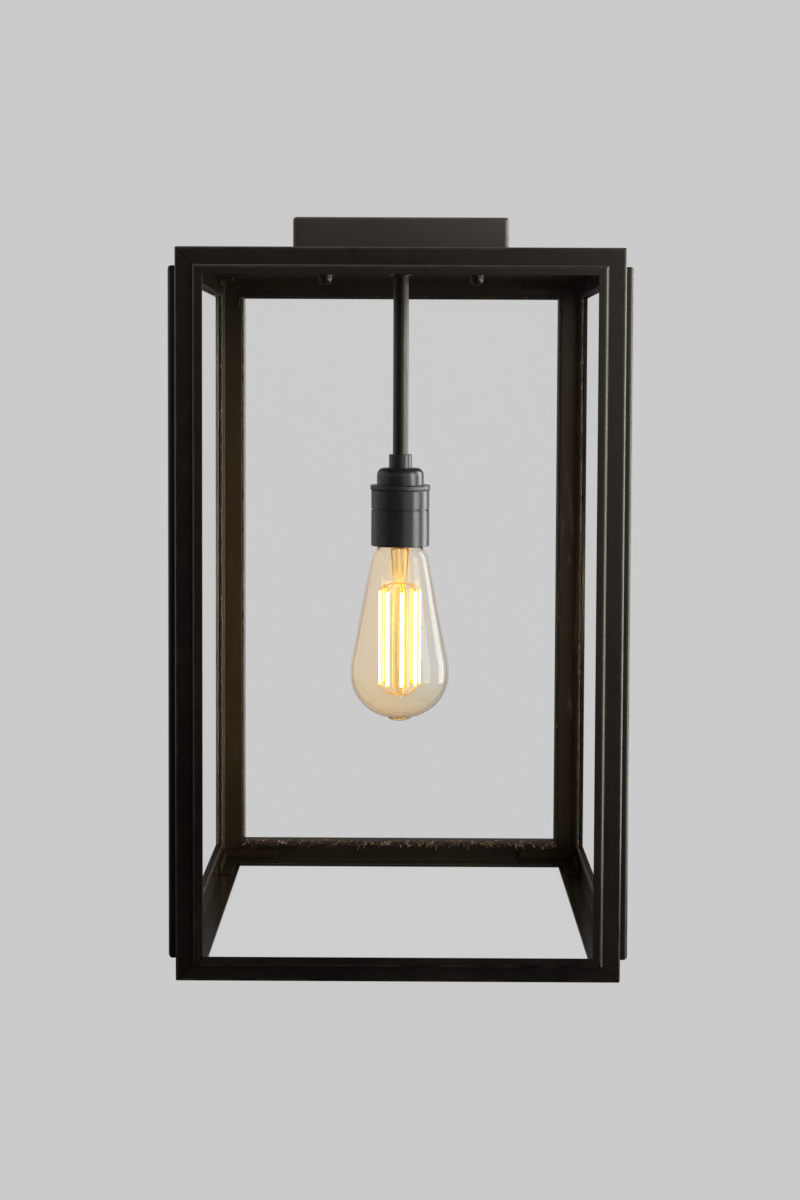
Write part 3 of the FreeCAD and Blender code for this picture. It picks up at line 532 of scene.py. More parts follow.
def stem_glass():
    """Pale gold pressed glass of the lamp's stem, with upright streaks of painted glow that stand in for the
    filaments' light that they catch.
    """
    material, tree, shader = new_material("stem_glass")
    mottle = use(tree, NOISE, Size=2.0)["Mottle"]
    streak = ranged(tree, streaks(tree, (420.0, 420.0, 14.0), 3.0), 0.46, 0.64)
    # Painted glow: orange emission along the streaks, dark elsewhere.
    glow = mixed(tree, streak, rgb(0.02, 0.008, 0.001), rgb(1.0, 0.50, 0.10))
    feed(tree, shader, Base_Color=mixed(tree, mottle, rgb(1.0, 0.84, 0.50), rgb(0.94, 0.72, 0.36)),
         Emission_Color=glow, Emission_Strength=0.70, Roughness=0.04, IOR=1.45, Transmission_Weight=1.0,
         Normal=bumped(tree, mottle, 0.2, 0.2 * MM))
    see_through(tree, shader, rgb(0.97, 0.93, 0.86))
    return material


DIM_END, LIT_FROM = 1.0 * MM, 3.5 * MM


def glowing_filament():
    """Coated light-emitting stick: very bright on the side that faces out of the ring, yellow on its back,
    with dim yellow ends."""
    material, tree, shader = new_material("glowing_filament")
    mottle = use(tree, NOISE, Size=3.0)["Mottle"]
    height = parts_of(tree, coordinates(tree))["Z"]
    lit = times(tree, ranged(tree, height, FILAMENT_LOW + DIM_END, FILAMENT_LOW + LIT_FROM),
                ranged(tree, height, FILAMENT_HIGH - DIM_END, FILAMENT_HIGH - LIT_FROM))
    glow = mixed(tree, mottle, rgb(1.0, 0.72, 0.33), rgb(1.0, 0.77, 0.39))
    glow = mixed(tree, ranged(tree, marked(tree, "outward"), -0.2, 0.8), rgb(0.24, 0.14, 0.022), glow)
    glow = mixed(tree, lit, rgb(0.030, 0.018, 0.0024), glow)
    feed(tree, shader, Base_Color=mixed(tree, mottle, rgb(0.80, 0.56, 0.08), rgb(0.86, 0.64, 0.14)),
         Emission_Color=glow, Emission_Strength=10.0, Roughness=0.5)
    return material


def bedding_compound():
    """Old glazing compound: rough, dark to reddish brown, golden in places, with a few cream specks."""
    material, tree, shader = new_material("bedding_compound")
    mottle = use(tree, NOISE, Size=6.0)["Mottle"]
    coarse = use(tree, NOISE, Size=2.2)["Mottle"]
    patchy = calc(tree, "ADD", times(tree, coarse, mottle), times(tree, marked(tree, "run"), 0.16))
    colour = mixed(tree, mottle, rgb(0.012, 0.007, 0.004), rgb(0.055, 0.032, 0.017))
    colour = mixed(tree, ranged(tree, patchy, 0.40, 0.70), colour, rgb(0.24, 0.14, 0.055))
    colour = mixed(tree, ranged(tree, patchy, 0.68, 0.84), colour, rgb(0.50, 0.41, 0.30))
    feed(tree, shader, Base_Color=colour, Roughness=scaled(tree, mottle, 0.35, 0.80),
         Normal=bumped(tree, mottle, 0.4, 0.3 * MM))
    return material


def plain_finish(name, low, high, rough, metallic=0.0, size=1.0):
    """A material between two colours, mottled, with its roughness and bump from the same noise."""
    material, tree, shader = new_material(name)
    noise = use(tree, NOISE, Size=size)
    feed(tree, shader, Base_Color=mixed(tree, noise["Mottle"], low, high),
         Roughness=scaled(tree, noise["Cloud"], *rough), Metallic=metallic,
         Normal=bumped(tree, noise["Grain"], *FINE_GRAIN))
    return material


# The two colours, the span of roughness, how metallic it is, and the size of the mottle.
PLAIN_FINISHES = {
    "zinc_steel": (rgb(0.34, 0.35, 0.36), rgb(0.52, 0.52, 0.50), (0.30, 0.48), 1.0, 1.4),
    "white_nylon": (rgb(0.62, 0.61, 0.57), rgb(0.72, 0.71, 0.68), (0.35, 0.50)),
    "brown_sleeving": (rgb(0.075, 0.030, 0.014), rgb(0.11, 0.046, 0.022), (0.4, 0.55), 0.0, 2.0),
    "blue_sleeving": (rgb(0.018, 0.06, 0.26), rgb(0.03, 0.09, 0.34), (0.4, 0.55), 0.0, 2.0),
    "green_sleeving": (rgb(0.04, 0.17, 0.03), rgb(0.42, 0.40, 0.03), (0.4, 0.55), 0.0, 0.6),
    "porcelain": (rgb(0.66, 0.64, 0.59), rgb(0.76, 0.74, 0.70), (0.18, 0.30)),
    "bright_brass": (rgb(0.60, 0.42, 0.16), rgb(0.74, 0.55, 0.25), (0.22, 0.36), 1.0, 2.0),
    "lamp_cap_metal": (rgb(0.62, 0.50, 0.30), rgb(0.74, 0.64, 0.44), (0.24, 0.38), 1.0, 2.0),
    "black_glaze": (rgb(0.008, 0.008, 0.009), rgb(0.016, 0.015, 0.015), (0.12, 0.22)),
    "bright_wire": (rgb(0.72, 0.47, 0.16), rgb(0.92, 0.66, 0.28), (0.24, 0.36), 1.0, 3.0),
}
FINISHES = {
    "patinated_brass": patinated_brass(),
    "black_lampholder": black_lampholder(),
    "clear_glass": clear_glass(),
    "amber_glass": amber_glass(),
    "bedding_compound": bedding_compound(),
    "glowing_filament": glowing_filament(),
}
FINISHES.update({name: plain_finish(name, *look) for name, look in PLAIN_FINISHES.items()})
# Painted light: the mounting box gets a much lighter copy of the frame's patina, standing in for the light
# that the box catches.
PAINTED_LIGHT_BOX_PATINA = patinated_brass("patinated_brass_box_painted_light", rgb(0.048, 0.044, 0.037), rgb(0.062, 0.055, 0.046),
                             (0.36, 0.44))
INNER_PATINA = patinated_brass("patinated_brass_inside", shine=(0.52, 0.60), inside=0.46, mirror=0.15)
STEM_GLASS = stem_glass()
# Painted glow: the wires beside the filaments get a faint orange emission, standing in for the filaments'
# light that they catch.
PAINTED_GLOW_WIRE_TREE = FINISHES["bright_wire"].node_tree
feed(PAINTED_GLOW_WIRE_TREE, PAINTED_GLOW_WIRE_TREE.nodes["Principled BSDF"], Emission_Color=rgb(1.0, 0.52, 0.08),
     Emission_Strength=0.25)

ANGLE_CORNERS = ((0, 0), (LEG, 0), (LEG, WALL), (WALL, WALL), (WALL, LEG), (0, LEG))
ANGLE_RADII = (ARRIS, LEG_EDGE, LEG_EDGE, ROOT_FILLET, LEG_EDGE, LEG_EDGE)
# How much of the inside brown the rails get at each level. The bottom rails get less than the top ones, which
# darkens them: painted shade.
RAIL_BROWN_AND_PAINTED_SHADE = {"top": 0.42, "bottom": 0.24}
WIPED_FACES = ("left", "right")


def mitred_bar(outline, inset, length, origin, first, second, run, **marks):
    """An outline carried straight along a bar. At both ends every point stops short by its own inset, which
    makes the mitres. A seam mark is 1 beside them, and a corner mark fades out from them along the bar. First
    and second are the outline's own directions."""
    steps = np.array([MITRE_GAP, MITRE_LINE, MITRE_FADE, CORNER_FADE])[:, None]
    ends = np.concatenate([inset + steps, length - inset - steps[::-1]])
    seam = np.array([1.0, 1.0, 0.0, 0.0, 0.0, 0.0, 1.0, 1.0])[:, None]
    corner = np.array([1.0, 1.0, 1.0, 0.0, 0.0, 1.0, 1.0, 1.0])[:, None]
    points = (np.array(origin) + outline[None, :, :1] * np.array(first)
              + outline[None, :, 1:] * np.array(second) + ends[:, :, None] * np.array(run))
    return patch(points, capped=True, seam=seam, corner=corner, **marks)


def build_frame():
    """The twelve mitred angle bars: posts at the corners, rails round the top and the bottom. An angle's
    corner lies on the frame's outer edge, so a point's inset at the mitre is the larger of its two distances
    from that corner."""
    outline, edge = rounded_outline(ANGLE_CORNERS, ANGLE_RADII)
    inset = outline.max(axis=1)[None, :]
    inside = (outline.min(axis=1) > WALL - ROOT_FILLET).astype(float)
    edge = edge * (1 - inside)
    for corner, (across, along) in CORNERS.items():
        bar = mitred_bar(outline, inset, TOP - BOTTOM, (across * HALF, along * HALF, TOP),
                         (-across, 0, 0), (0, -along, 0), -UP, edge=edge, inside=inside)
        new_piece("post_" + corner, [bar], "patinated_brass", "corner_post_" + corner)
    for face, (out, along) in FACES.items():
        for level, height, inward in (("top", TOP, -UP), ("bottom", BOTTOM, UP)):
            start = (out - along) * HALF + UP * height
            bar = mitred_bar(outline, inset, 2 * HALF, start, -out, inward, along, edge=edge,
                             inside=inside * RAIL_BROWN_AND_PAINTED_SHADE[level], wiped=inside * (face in WIPED_FACES))
            new_piece("rail_%s_%s" % (level, face), [bar], "patinated_brass", "%s_rail_%s" % (level, face))


BEAD_WIDTH, BEAD_WALL, BEAD_UNDERCUT = 6.2 * MM, 1.8 * MM, 1.2 * MM
BEAD_FOOT, BEAD_ARRIS, BEAD_LIP, BEAD_NOSE = 0.08 * MM, 0.1 * MM, 0.3 * MM, 2.4 * MM
BEAD_MARGIN = 0.3 * MM
BEAD_STEPS = 8
NOSE_WEAR = 0.7


def build_beads():
    """A bead frame on each face: four bars of a rebated section, mitred at the corners. The rebate takes the
    pane, and the lip over it has a round outer edge and a finer inner one, cut back towards the glass. A
    point's inset at the mitre is its distance from the bead frame's outer edge."""
    low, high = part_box("bead_frame_front")
    half, tall = high.x, high.z - low.z
    proud = -low.y - HALF
    rebate = PANE_FACE - HALF
    corners = ((0, 0), (BEAD_WALL, 0), (BEAD_WALL, rebate), (BEAD_WIDTH - BEAD_UNDERCUT, rebate),
               (BEAD_WIDTH, proud), (0, proud))
    radii = (BEAD_FOOT, BEAD_FOOT, BEAD_FOOT, BEAD_ARRIS, BEAD_LIP, BEAD_NOSE)
    outline, edge = rounded_outline(corners, radii, BEAD_MARGIN, BEAD_STEPS)
    nose = edge * (outline[:, 1] > (rebate + proud) / 2) * (outline[:, 0] < BEAD_NOSE)
    inset = outline[None, :, 0]
    for face, (out, along) in FACES.items():
        sides = ((-half, high.z, -UP, along, 2 * half), (-half, low.z, UP, along, 2 * half),
                 (-half, high.z, along, -UP, tall), (half, high.z, -along, -UP, tall))
        bars = [mitred_bar(outline, inset, length, along * aside + UP * height + out * HALF, inward, out, run,
                           edge=nose * NOSE_WEAR) for aside, height, inward, run, length in sides]
        new_piece("beads_" + face, bars, "patinated_brass", "bead_frame_" + face)


# Glazing compound: a bed between glass and angle, a roll squeezed out past the angle's edge, and drips.
ROLL_STEPS, ROLL_SIDES, SMEAR_STEPS, HOOK_STEPS = 1400, 9, 700, 24
BED_THICKNESS = PANE_LOW.y - HALF
BED_SHARE = 0.8
SIGHT_EDGE = 0.5 * MM
ROLL_DEPTH, ROLL_WIDTH, ROLL_HEIGHT = 0.8 * MM, 1.2 * MM, 2.0 * MM
SHORTEST_HANG, LONGEST_HANG = 1.2 * MM, 6.5 * MM
SMEAR_REACH = 0.985
HOOK_RADIUS, HOOK_SWEEP, HOOK_STRAIGHT, HOOK_DROP = 2.6 * MM, 1.15 * math.pi, 0.4, 12 * MM
HOOK_ASIDE, HOOK_BELOW, HOOK_WIRE = 4.4 * MM, 1.0 * MM, 0.5 * MM
DROPS, DROP_SPACING, DROP_HALF, DROP_WIRE = 4, 1.7 * MM, 0.6 * MM, 0.55 * MM
DROP_ASIDE, DROP_BELOW = 6.0 * MM, 0.6 * MM
# How often each unevenness comes round or along, at least and at most, and how lumpy a roll is.
SWELLS, WANDERS, TWISTS, HANGS, THICKENINGS = (20, 260), (8, 120), (10, 90), (12, 160), (20, 220)
LUMP_SHARE, LUMPS_ROUND, LUMP_TURNS = 0.2, 3, 6


def on_face(out, along, across, up, inset, depth):
    """Points on a face: across and up run from -1 to 1 between the frame's outer edges, drawn in by the
    inset, and the depth goes in from the frame's outer face."""
    return ((HALF - depth)[..., None] * np.array(out) + (across * (HALF - inset))[..., None] * np.array(along)
            + (MIDDLE + up * (HALF_HEIGHT - inset))[..., None] * np.array(UP))


def compound_roll(out, along, inset, depth, width, height, seed, least=0.25, wander=0.35):
    """A lumpy roll carried round a face, a given inset in from the frame's outer edges and a depth in from
    its outer face. Its width and height swell and shrink along the way, and each lump is also uneven round
    the roll."""
    way = np.arange(ROLL_STEPS) * 4 / ROLL_STEPS
    side = way.astype(int)
    part = 2 * (way - side) - 1
    across = np.choose(side, [part, 1, -part, -1])[:, None]
    up = np.choose(side, [-1, part, 1, -part])[:, None]
    swell = least + (1 - least) * unevenness(ROLL_STEPS, seed, SWELLS)
    aside = wander * (unevenness(ROLL_STEPS, seed + 1, WANDERS) - 0.5)
    angle = angles_round(ROLL_SIDES)[None, :]
    twist = TURN * LUMP_TURNS * unevenness(ROLL_STEPS, seed + 2, TWISTS)
    lump = 1 + LUMP_SHARE * np.cos(LUMPS_ROUND * angle + twist)
    spread = inset + width * (aside + swell * lump * np.cos(angle) / 2)
    deep = depth + height * swell * lump * np.sin(angle) / 2
    return patch(on_face(out, along, across, up, spread, deep), wrap_rows=True)


def compound_smear(out, along, seed):
    """Compound drawn over a bottom rail's edge: a section from the glass, over the edge and down the angle's
    inner face, carried along the rail. How far it hangs down and how thick it is wander along the way."""
    across = np.linspace(-1, 1, SMEAR_STEPS)[:, None]
    hang = SHORTEST_HANG + (LONGEST_HANG - SHORTEST_HANG) * unevenness(SMEAR_STEPS, seed, HANGS) ** 2
    lumps = [unevenness(SMEAR_STEPS, seed + 1 + number, THICKENINGS) * MM for number in range(4)]
    glass, skin, buried = 0.05 * MM - BED_THICKNESS, WALL + 0.1 * MM, WALL - 0.2 * MM
    section = (
        (LEG + 1.5 * MM, glass),
        (LEG + 1.1 * MM, 0.5 * MM + 0.9 * lumps[0]),
        (LEG + 0.3 * MM + 0.4 * lumps[1], skin + 0.7 * lumps[1]),
        (LEG - 0.4 * hang, skin + 0.8 * lumps[2]),
        (LEG - 0.85 * hang, skin + 0.5 * lumps[3]),
        (LEG - hang, buried),
        (LEG - 0.2 * MM, buried),
        (LEG - 0.2 * MM, glass))
    inset, depth = (np.concatenate([np.broadcast_to(value, hang.shape) for value in column], axis=1)
                    for column in zip(*section))
    up = np.full_like(inset, -1)
    return patch(on_face(out, along, across * SMEAR_REACH, up, inset, depth), capped=True, run=1.0)


def compound_curl():
    """A thin string of compound that has dropped on the back left post, near its top: a wire along a hook,
    and below the rail a row of drops."""
    sweep = np.linspace(0, 1, HOOK_STEPS)
    turn = np.clip((sweep - HOOK_STRAIGHT) / (1 - HOOK_STRAIGHT), 0, 1) * HOOK_SWEEP
    face, rail = HALF - WALL, TOP - LEG
    across = -HALF + LEG - HOOK_ASIDE + HOOK_RADIUS * np.cos(turn)
    height = rail - HOOK_BELOW - HOOK_DROP * np.minimum(sweep, HOOK_STRAIGHT) - HOOK_RADIUS * np.sin(turn)
    hook = np.stack([across, np.full(HOOK_STEPS, face - 0.25 * MM), height], axis=1)
    parts = [wire(hook, HOOK_WIRE, taper=0.6 + 0.4 * np.sin(math.pi * sweep))]
    for number in range(DROPS):
        top = rail - DROP_BELOW - number * DROP_SPACING
        drop = np.array([[-HALF + DROP_ASIDE, face - 0.1 * MM, top]] * 5)
        drop[:, 2] += np.linspace(-DROP_HALF, DROP_HALF, 5)
        parts.append(wire(drop, DROP_WIRE, taper=(0.2, 0.8, 1.0, 0.8, 0.2)))
    for part in parts:
        part["marks"]["run"] = np.ones(len(part["points"]))
    return parts


def build_bedding():
    """Compound round each pane: the thin bed, on every face but the front the roll at the sight edge against
    the inner side of the glass, and on the back's bottom rail what ran down over the edge."""
    for number, (face, (out, along)) in enumerate(FACES.items()):
        seed = 10 * number + 3
        patches = [compound_roll(out, along, (LEG + PANE_INSET) / 2, -BED_THICKNESS / 2,
                                 (LEG - PANE_INSET) * BED_SHARE, BED_THICKNESS * BED_SHARE, seed)]
        if face != "front":
            patches.append(compound_roll(out, along, LEG + SIGHT_EDGE, ROLL_DEPTH, ROLL_WIDTH, ROLL_HEIGHT,
                                         seed + 5, least=0.7, wander=0.1))
        if face == "back":
            patches += [compound_smear(out, along, seed + 20)] + compound_curl()
        new_piece("compound_" + face, patches, "bedding_compound", "bedding_" + face)


PANE_EDGE = 0.3 * MM


def build_panes():
    """Glass panes: a plate's outline with its edges just seamed, carried through the glass."""
    thick = PANE_HIGH.y - PANE_LOW.y
    middle, tall = (PANE_HIGH.z + PANE_LOW.z) / 2, (PANE_HIGH.z - PANE_LOW.z) / 2
    section = ((0.0, PANE_EDGE), (PANE_EDGE, 0.0), (thick - PANE_EDGE, 0.0), (thick, PANE_EDGE))
    depth, shrink = (np.array(column)[:, None] for column in zip(*section))
    across = np.array([-1, 1, 1, -1])[None, :]
    up = np.array([-1, -1, 1, 1])[None, :]
    for face, (out, along) in FACES.items():
        points = ((PANE_FACE - depth + 0 * across)[:, :, None] * np.array(out)
                  + (across * (PANE_HIGH.x - shrink))[:, :, None] * np.array(along)
                  + (middle + up * (tall - shrink))[:, :, None] * np.array(UP))
        new_piece("pane_" + face, [patch(points, capped=True)], "clear_glass", "glass_pane_" + face)


BOX_WALL, BOX_CORNER, BOX_CORNER_STEPS = 2.6 * MM, 3.2 * MM, 9
BOX_RADII = (0.01 * MM, 0.4 * MM, 2.0 * MM, 0.3 * MM, 0.6 * MM, 0.01 * MM)
BOX_MARGIN = 0.1 * MM


def build_mounting_box():
    """The mounting box: a rounded square carried up a wall section, where the square shrinks by the section's
    offset. The section runs from the middle of the underside, up the outside, over the rim and across the
    floor."""
    low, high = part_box("mounting_box")
    half, floor = high.x, low.z + BOX_WALL
    corners = ((half, low.z), (0, low.z), (0, high.z), (BOX_WALL, high.z), (BOX_WALL, floor), (half, floor))
    section, edge = rounded_outline(corners, BOX_RADII, BOX_MARGIN)
    per_corner = len(edge) // len(corners)
    rows = np.concatenate([corners[:1], section[per_corner:-per_corner], corners[-1:]])
    edge = np.concatenate([[0], edge[per_corner:-per_corner], [0]])
    offset = rows[:, 0][:, None, None]
    radius = np.clip(BOX_CORNER - offset, 0, None)
    angle = np.linspace(0, QUARTER, BOX_CORNER_STEPS)[None, None, :]
    quarter = np.arange(4)[None, :, None] * QUARTER
    reach = half - offset - radius
    x, y = (reach * np.sign(way(quarter + QUARTER / 2)) + radius * way(quarter + angle)
            for way in (np.cos, np.sin))
    points = np.stack([x, y, np.broadcast_to(rows[:, 1:, None], x.shape)], axis=-1)
    tray = patch(points.reshape(len(rows), -1, 3), edge=edge[:, None])
    # The box's lighter copy of the patina is painted light.
    new_piece("ceiling_box", [tray], "patinated_brass", "mounting_box", PAINTED_LIGHT_BOX_PATINA)


TUBE_BORE, TUBE_CLEARANCE = 3.8 * MM, 0.05 * MM
HOLDER_WALL, COLLAR_RADIUS = 1.2 * MM, 7.5 * MM
DOME_RISE, DOME_THICKNESS = 11.0 * MM, 1.6 * MM
GROOVE_HEIGHT = 0.8 * MM
KNURLS, KNURL_SIDES, KNURL_DEPTH, KNURL_FADE = 150, 600, 0.10 * MM, 0.3 * MM
CLAMP_RADII = (0.1 * MM, 0.9 * MM, 0.9 * MM, 0.1 * MM)
CLAMP_MARGIN = 0.2 * MM


def build_lampholder():
    """Lampholder on its drop tube: collar and dome in one, knurled clamping ring, upper body with its neck,
    skirt. The knurls are a cosine wave in the ring's radius, which fades out over its rounded edges."""
    low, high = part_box("drop_tube")
    inner = high.x + TUBE_CLEARANCE
    tube = turned_ring(sleeve(TUBE_BORE, high.x, high.z, low.z), (0.1, 0.3, 0.3, 0.1))
    new_piece("hanging_tube", [tube], "patinated_brass", "drop_tube")

    low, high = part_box("lampholder_cap")
    ring_low, ring_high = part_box("lampholder_ring")
    dome, shell = high.x, high.x - HOLDER_WALL
    dome_top = ring_high.z + DOME_RISE
    under = dome_top - DOME_THICKNESS
    cap = turned_ring(((inner, high.z), (COLLAR_RADIUS, high.z), (COLLAR_RADIUS, dome_top), (dome, dome_top),
                       (dome, low.z), (shell, low.z), (shell, under), (inner, under)),
                      (0.1, 0.5, 0.5, 4.6, 0.25, 0.1, 0.5, 0.1))
    new_piece("lampholder_dome", [cap], "black_lampholder", "lampholder_cap")

    section = sleeve(shell, ring_high.x, ring_high.z, ring_low.z)
    outline, edge = rounded_outline(section, CLAMP_RADII, CLAMP_MARGIN)
    at_rim = np.clip((outline[:, :1] - ring_high.x + KNURL_FADE) / KNURL_FADE, 0, 1)
    around = np.arange(KNURL_SIDES)[None, :] * TURN * KNURLS / KNURL_SIDES
    teeth = KNURL_DEPTH * at_rim * (np.cos(around) - 1) / 2
    clamp = turned(outline, sides=KNURL_SIDES, wrap=True, edge=edge, ripple=teeth)
    new_piece("lampholder_clamp_ring", [clamp], "black_lampholder", "lampholder_ring")

    low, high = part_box("lampholder_body")
    skirt_low, skirt_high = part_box("lampholder_skirt")
    groove = skirt_high.z + GROOVE_HEIGHT
    skirt_inside = skirt_high.x - HOLDER_WALL
    neck = skirt_inside - TUBE_CLEARANCE
    bore = neck - HOLDER_WALL
    body = turned_ring(((bore, high.z), (high.x, high.z), (high.x, groove), (neck, groove), (neck, low.z),
                        (bore, low.z)), (0.1, 0.3, 0.3, 0.1, 0.1, 0.1))
    new_piece("lampholder_upper", [body], "black_lampholder", "lampholder_body")
    skirt = turned_ring(sleeve(skirt_inside, skirt_high.x, skirt_high.z, skirt_low.z), (0.1, 0.3, 0.5, 0.3))
    new_piece("lampholder_shade_ring", [skirt], "black_lampholder", "lampholder_skirt")


NUT_HALF_WIDTH, NUT_COLLAR, NUT_DOME = 4.5 * MM, 4.0 * MM, 4.2 * MM
NUT_BEVEL, NUT_BEVEL_RADIUS, NUT_POINT_RADIUS = 0.5 * MM, 4.65 * MM, 5.2 * MM
NUT_SIDES, NUT_DOME_SIDES, NUT_OVERLAP = 72, 48, 0.2 * MM


def build_dome_nuts():
    """Dome nuts: a hexagon cut to a chamfer, and a dome under it. The hexagon's radius at an angle is its
    half width over the cosine of the angle from the nearest flat's middle, and never more than the chamfer's
    radius there."""
    low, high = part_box("dome_nuts")
    sixth = math.pi / 3
    spot = high.x - NUT_HALF_WIDTH / math.cos(sixth / 2)
    flats = NUT_HALF_WIDTH / np.cos((angles_round(NUT_SIDES)[None, :] + sixth / 2) % sixth - sixth / 2)
    hex_low = high.z - NUT_COLLAR
    levels = np.array([high.z, high.z - NUT_BEVEL, hex_low + NUT_BEVEL, hex_low])[:, None]
    chamfer = np.array([NUT_BEVEL_RADIUS, NUT_POINT_RADIUS, NUT_POINT_RADIUS, NUT_BEVEL_RADIUS])[:, None]
    radius = np.minimum(flats, chamfer)
    lift = np.linspace(0, QUARTER, 12)
    dome = np.stack([NUT_DOME * np.cos(lift), low.z + NUT_DOME * (1 - np.sin(lift))], axis=1)
    dome = np.concatenate([[[0, hex_low + NUT_OVERLAP], [NUT_DOME, hex_low + NUT_OVERLAP]], dome])
    rubbed = np.array([1, 0, 0, 1])[:, None]
    nuts = []
    for centre in ((-spot, 0), (spot, 0)):
        nuts.append(patch(round_axis(radius, levels, centre), capped=True, edge=rubbed))
        nuts.append(turned(dome, centre, NUT_DOME_SIDES))
    new_piece("acorn_nuts", nuts, "patinated_brass", "dome_nuts")


GLASS_WALL, GLASS_SIDES, GLASS_STEPS = 0.9 * MM, 128, 18
NECK_RADIUS, NECK_START, NECK_END = 12.75 * MM, 14.0 * MM, 24.3 * MM
SHOULDER_RADIUS, SHOULDER_END, SHOULDER_ROUND = 19.1 * MM, 35.2 * MM, 15.5 * MM
CONE_RADIUS, CONE_END = 30.0 * MM, 93.0 * MM
BELLY_RADIUS, BELLY_DROP, BELLY_ROUND = 32.1 * MM, 108.5 * MM, 58.25 * MM
BOTTOM_ROUND, TIP_RADIUS, TIP_HEIGHT, TIP_STEPS = 28.8 * MM, 7.2 * MM, 1.6 * MM, 10


def lamp_outline(shrink):
    """The pear outline from the neck to the bottom, drawn in by shrink: neck, shoulder arc, cone, belly arc
    and the bottom's arc, as (radius, height) points."""
    neck = [[NECK_RADIUS - shrink, LAMP_TOP - NECK_START],
            [NECK_RADIUS - shrink, LAMP_TOP - NECK_END - shrink]]
    shoulder = arc(neck[1], (SHOULDER_RADIUS - shrink, LAMP_TOP - SHOULDER_END), SHOULDER_ROUND - shrink,
                   GLASS_STEPS)
    belly = arc((CONE_RADIUS - shrink, LAMP_TOP - CONE_END), (BELLY_RADIUS - shrink, LAMP_TOP - BELLY_DROP),
                BELLY_ROUND - shrink, GLASS_STEPS)
    middle = BELLY_RADIUS - BOTTOM_ROUND
    end = TIP_RADIUS if shrink == 0 else middle
    swing = math.sqrt((BOTTOM_ROUND - shrink) ** 2 - (end - middle) ** 2)
    bottom = arc(belly[-1], (end, LAMP_TOP - BELLY_DROP - swing), BOTTOM_ROUND - shrink, 2 * GLASS_STEPS)
    return np.concatenate([neck[:1], shoulder, belly, bottom[1:]])


def build_lamp_glass():
    """Lamp envelope: the pear outline turned, outside and inside, with a sealed tip below."""
    tip_round = (TIP_RADIUS ** 2 + TIP_HEIGHT ** 2) / (2 * TIP_HEIGHT)
    tip = arc((TIP_RADIUS, LAMP_TIP + TIP_HEIGHT), (0, LAMP_TIP), tip_round, TIP_STEPS)
    inside_end = [[0, LAMP_TOP - BELLY_DROP - BOTTOM_ROUND + GLASS_WALL]]
    profile = np.concatenate([tip[::-1], lamp_outline(0)[::-1], lamp_outline(GLASS_WALL), inside_end])
    new_piece("lamp_envelope", [turned(profile, sides=GLASS_SIDES)], "amber_glass", "lamp_glass", body="lamp")


FLARE_RADIUS, STEM_RADIUS, PILLAR_RADIUS = 11.8 * MM, 5.2 * MM, 4.8 * MM
PINCH_DROP, STEM_SIDES = 44.0 * MM, 48


def build_lamp_stem():
    """Stem: a flare sealed to the neck, a tube that is pinched, and a round-ended pillar that carries the
    filament cage, as one profile turned."""
    pinch = LAMP_TOP - PINCH_DROP
    profile = [
        (0, STEM_HIGH), (FLARE_RADIUS, STEM_HIGH), (FLARE_RADIUS, STEM_HIGH - 1.5 * MM),
        (STEM_RADIUS + 2.6 * MM, STEM_HIGH - 6.0 * MM), (STEM_RADIUS + 1.0 * MM, STEM_HIGH - 12.0 * MM),
        (STEM_RADIUS, pinch), (STEM_RADIUS * 0.7, pinch - 3.0 * MM), (STEM_RADIUS * 0.55, pinch - 5.0 * MM),
        (STEM_RADIUS * 0.6, pinch - 6.5 * MM), (PILLAR_RADIUS, pinch - 11.0 * MM),
        (PILLAR_RADIUS, STEM_LOW + 3.0 * MM), (PILLAR_RADIUS * 0.8, STEM_LOW + 1.0 * MM), (0, STEM_LOW)]
    stem = turned(profile, sides=STEM_SIDES)
    new_piece("lamp_stem_glass", [stem], "clear_glass", "lamp_stem", STEM_GLASS, "lamp")


FILAMENTS, FILAMENT_SIDES = 8, 16
FIRST_FILAMENT = math.radians(6.75)
FILAMENT_RADIUS, FILAMENT_RING = 1.15 * MM, 12.5 * MM
SUPPORT_WIRE, SUPPORT_STEPS, GATHER_RADIUS = 0.36 * MM, 12, 0.6 * MM
HOOP_STEPS, HOOP_WIRE, HOOP_RISE, TAIL_WIRE = 65, 0.6 * SUPPORT_WIRE, 1.2 * MM, 0.7 * MM


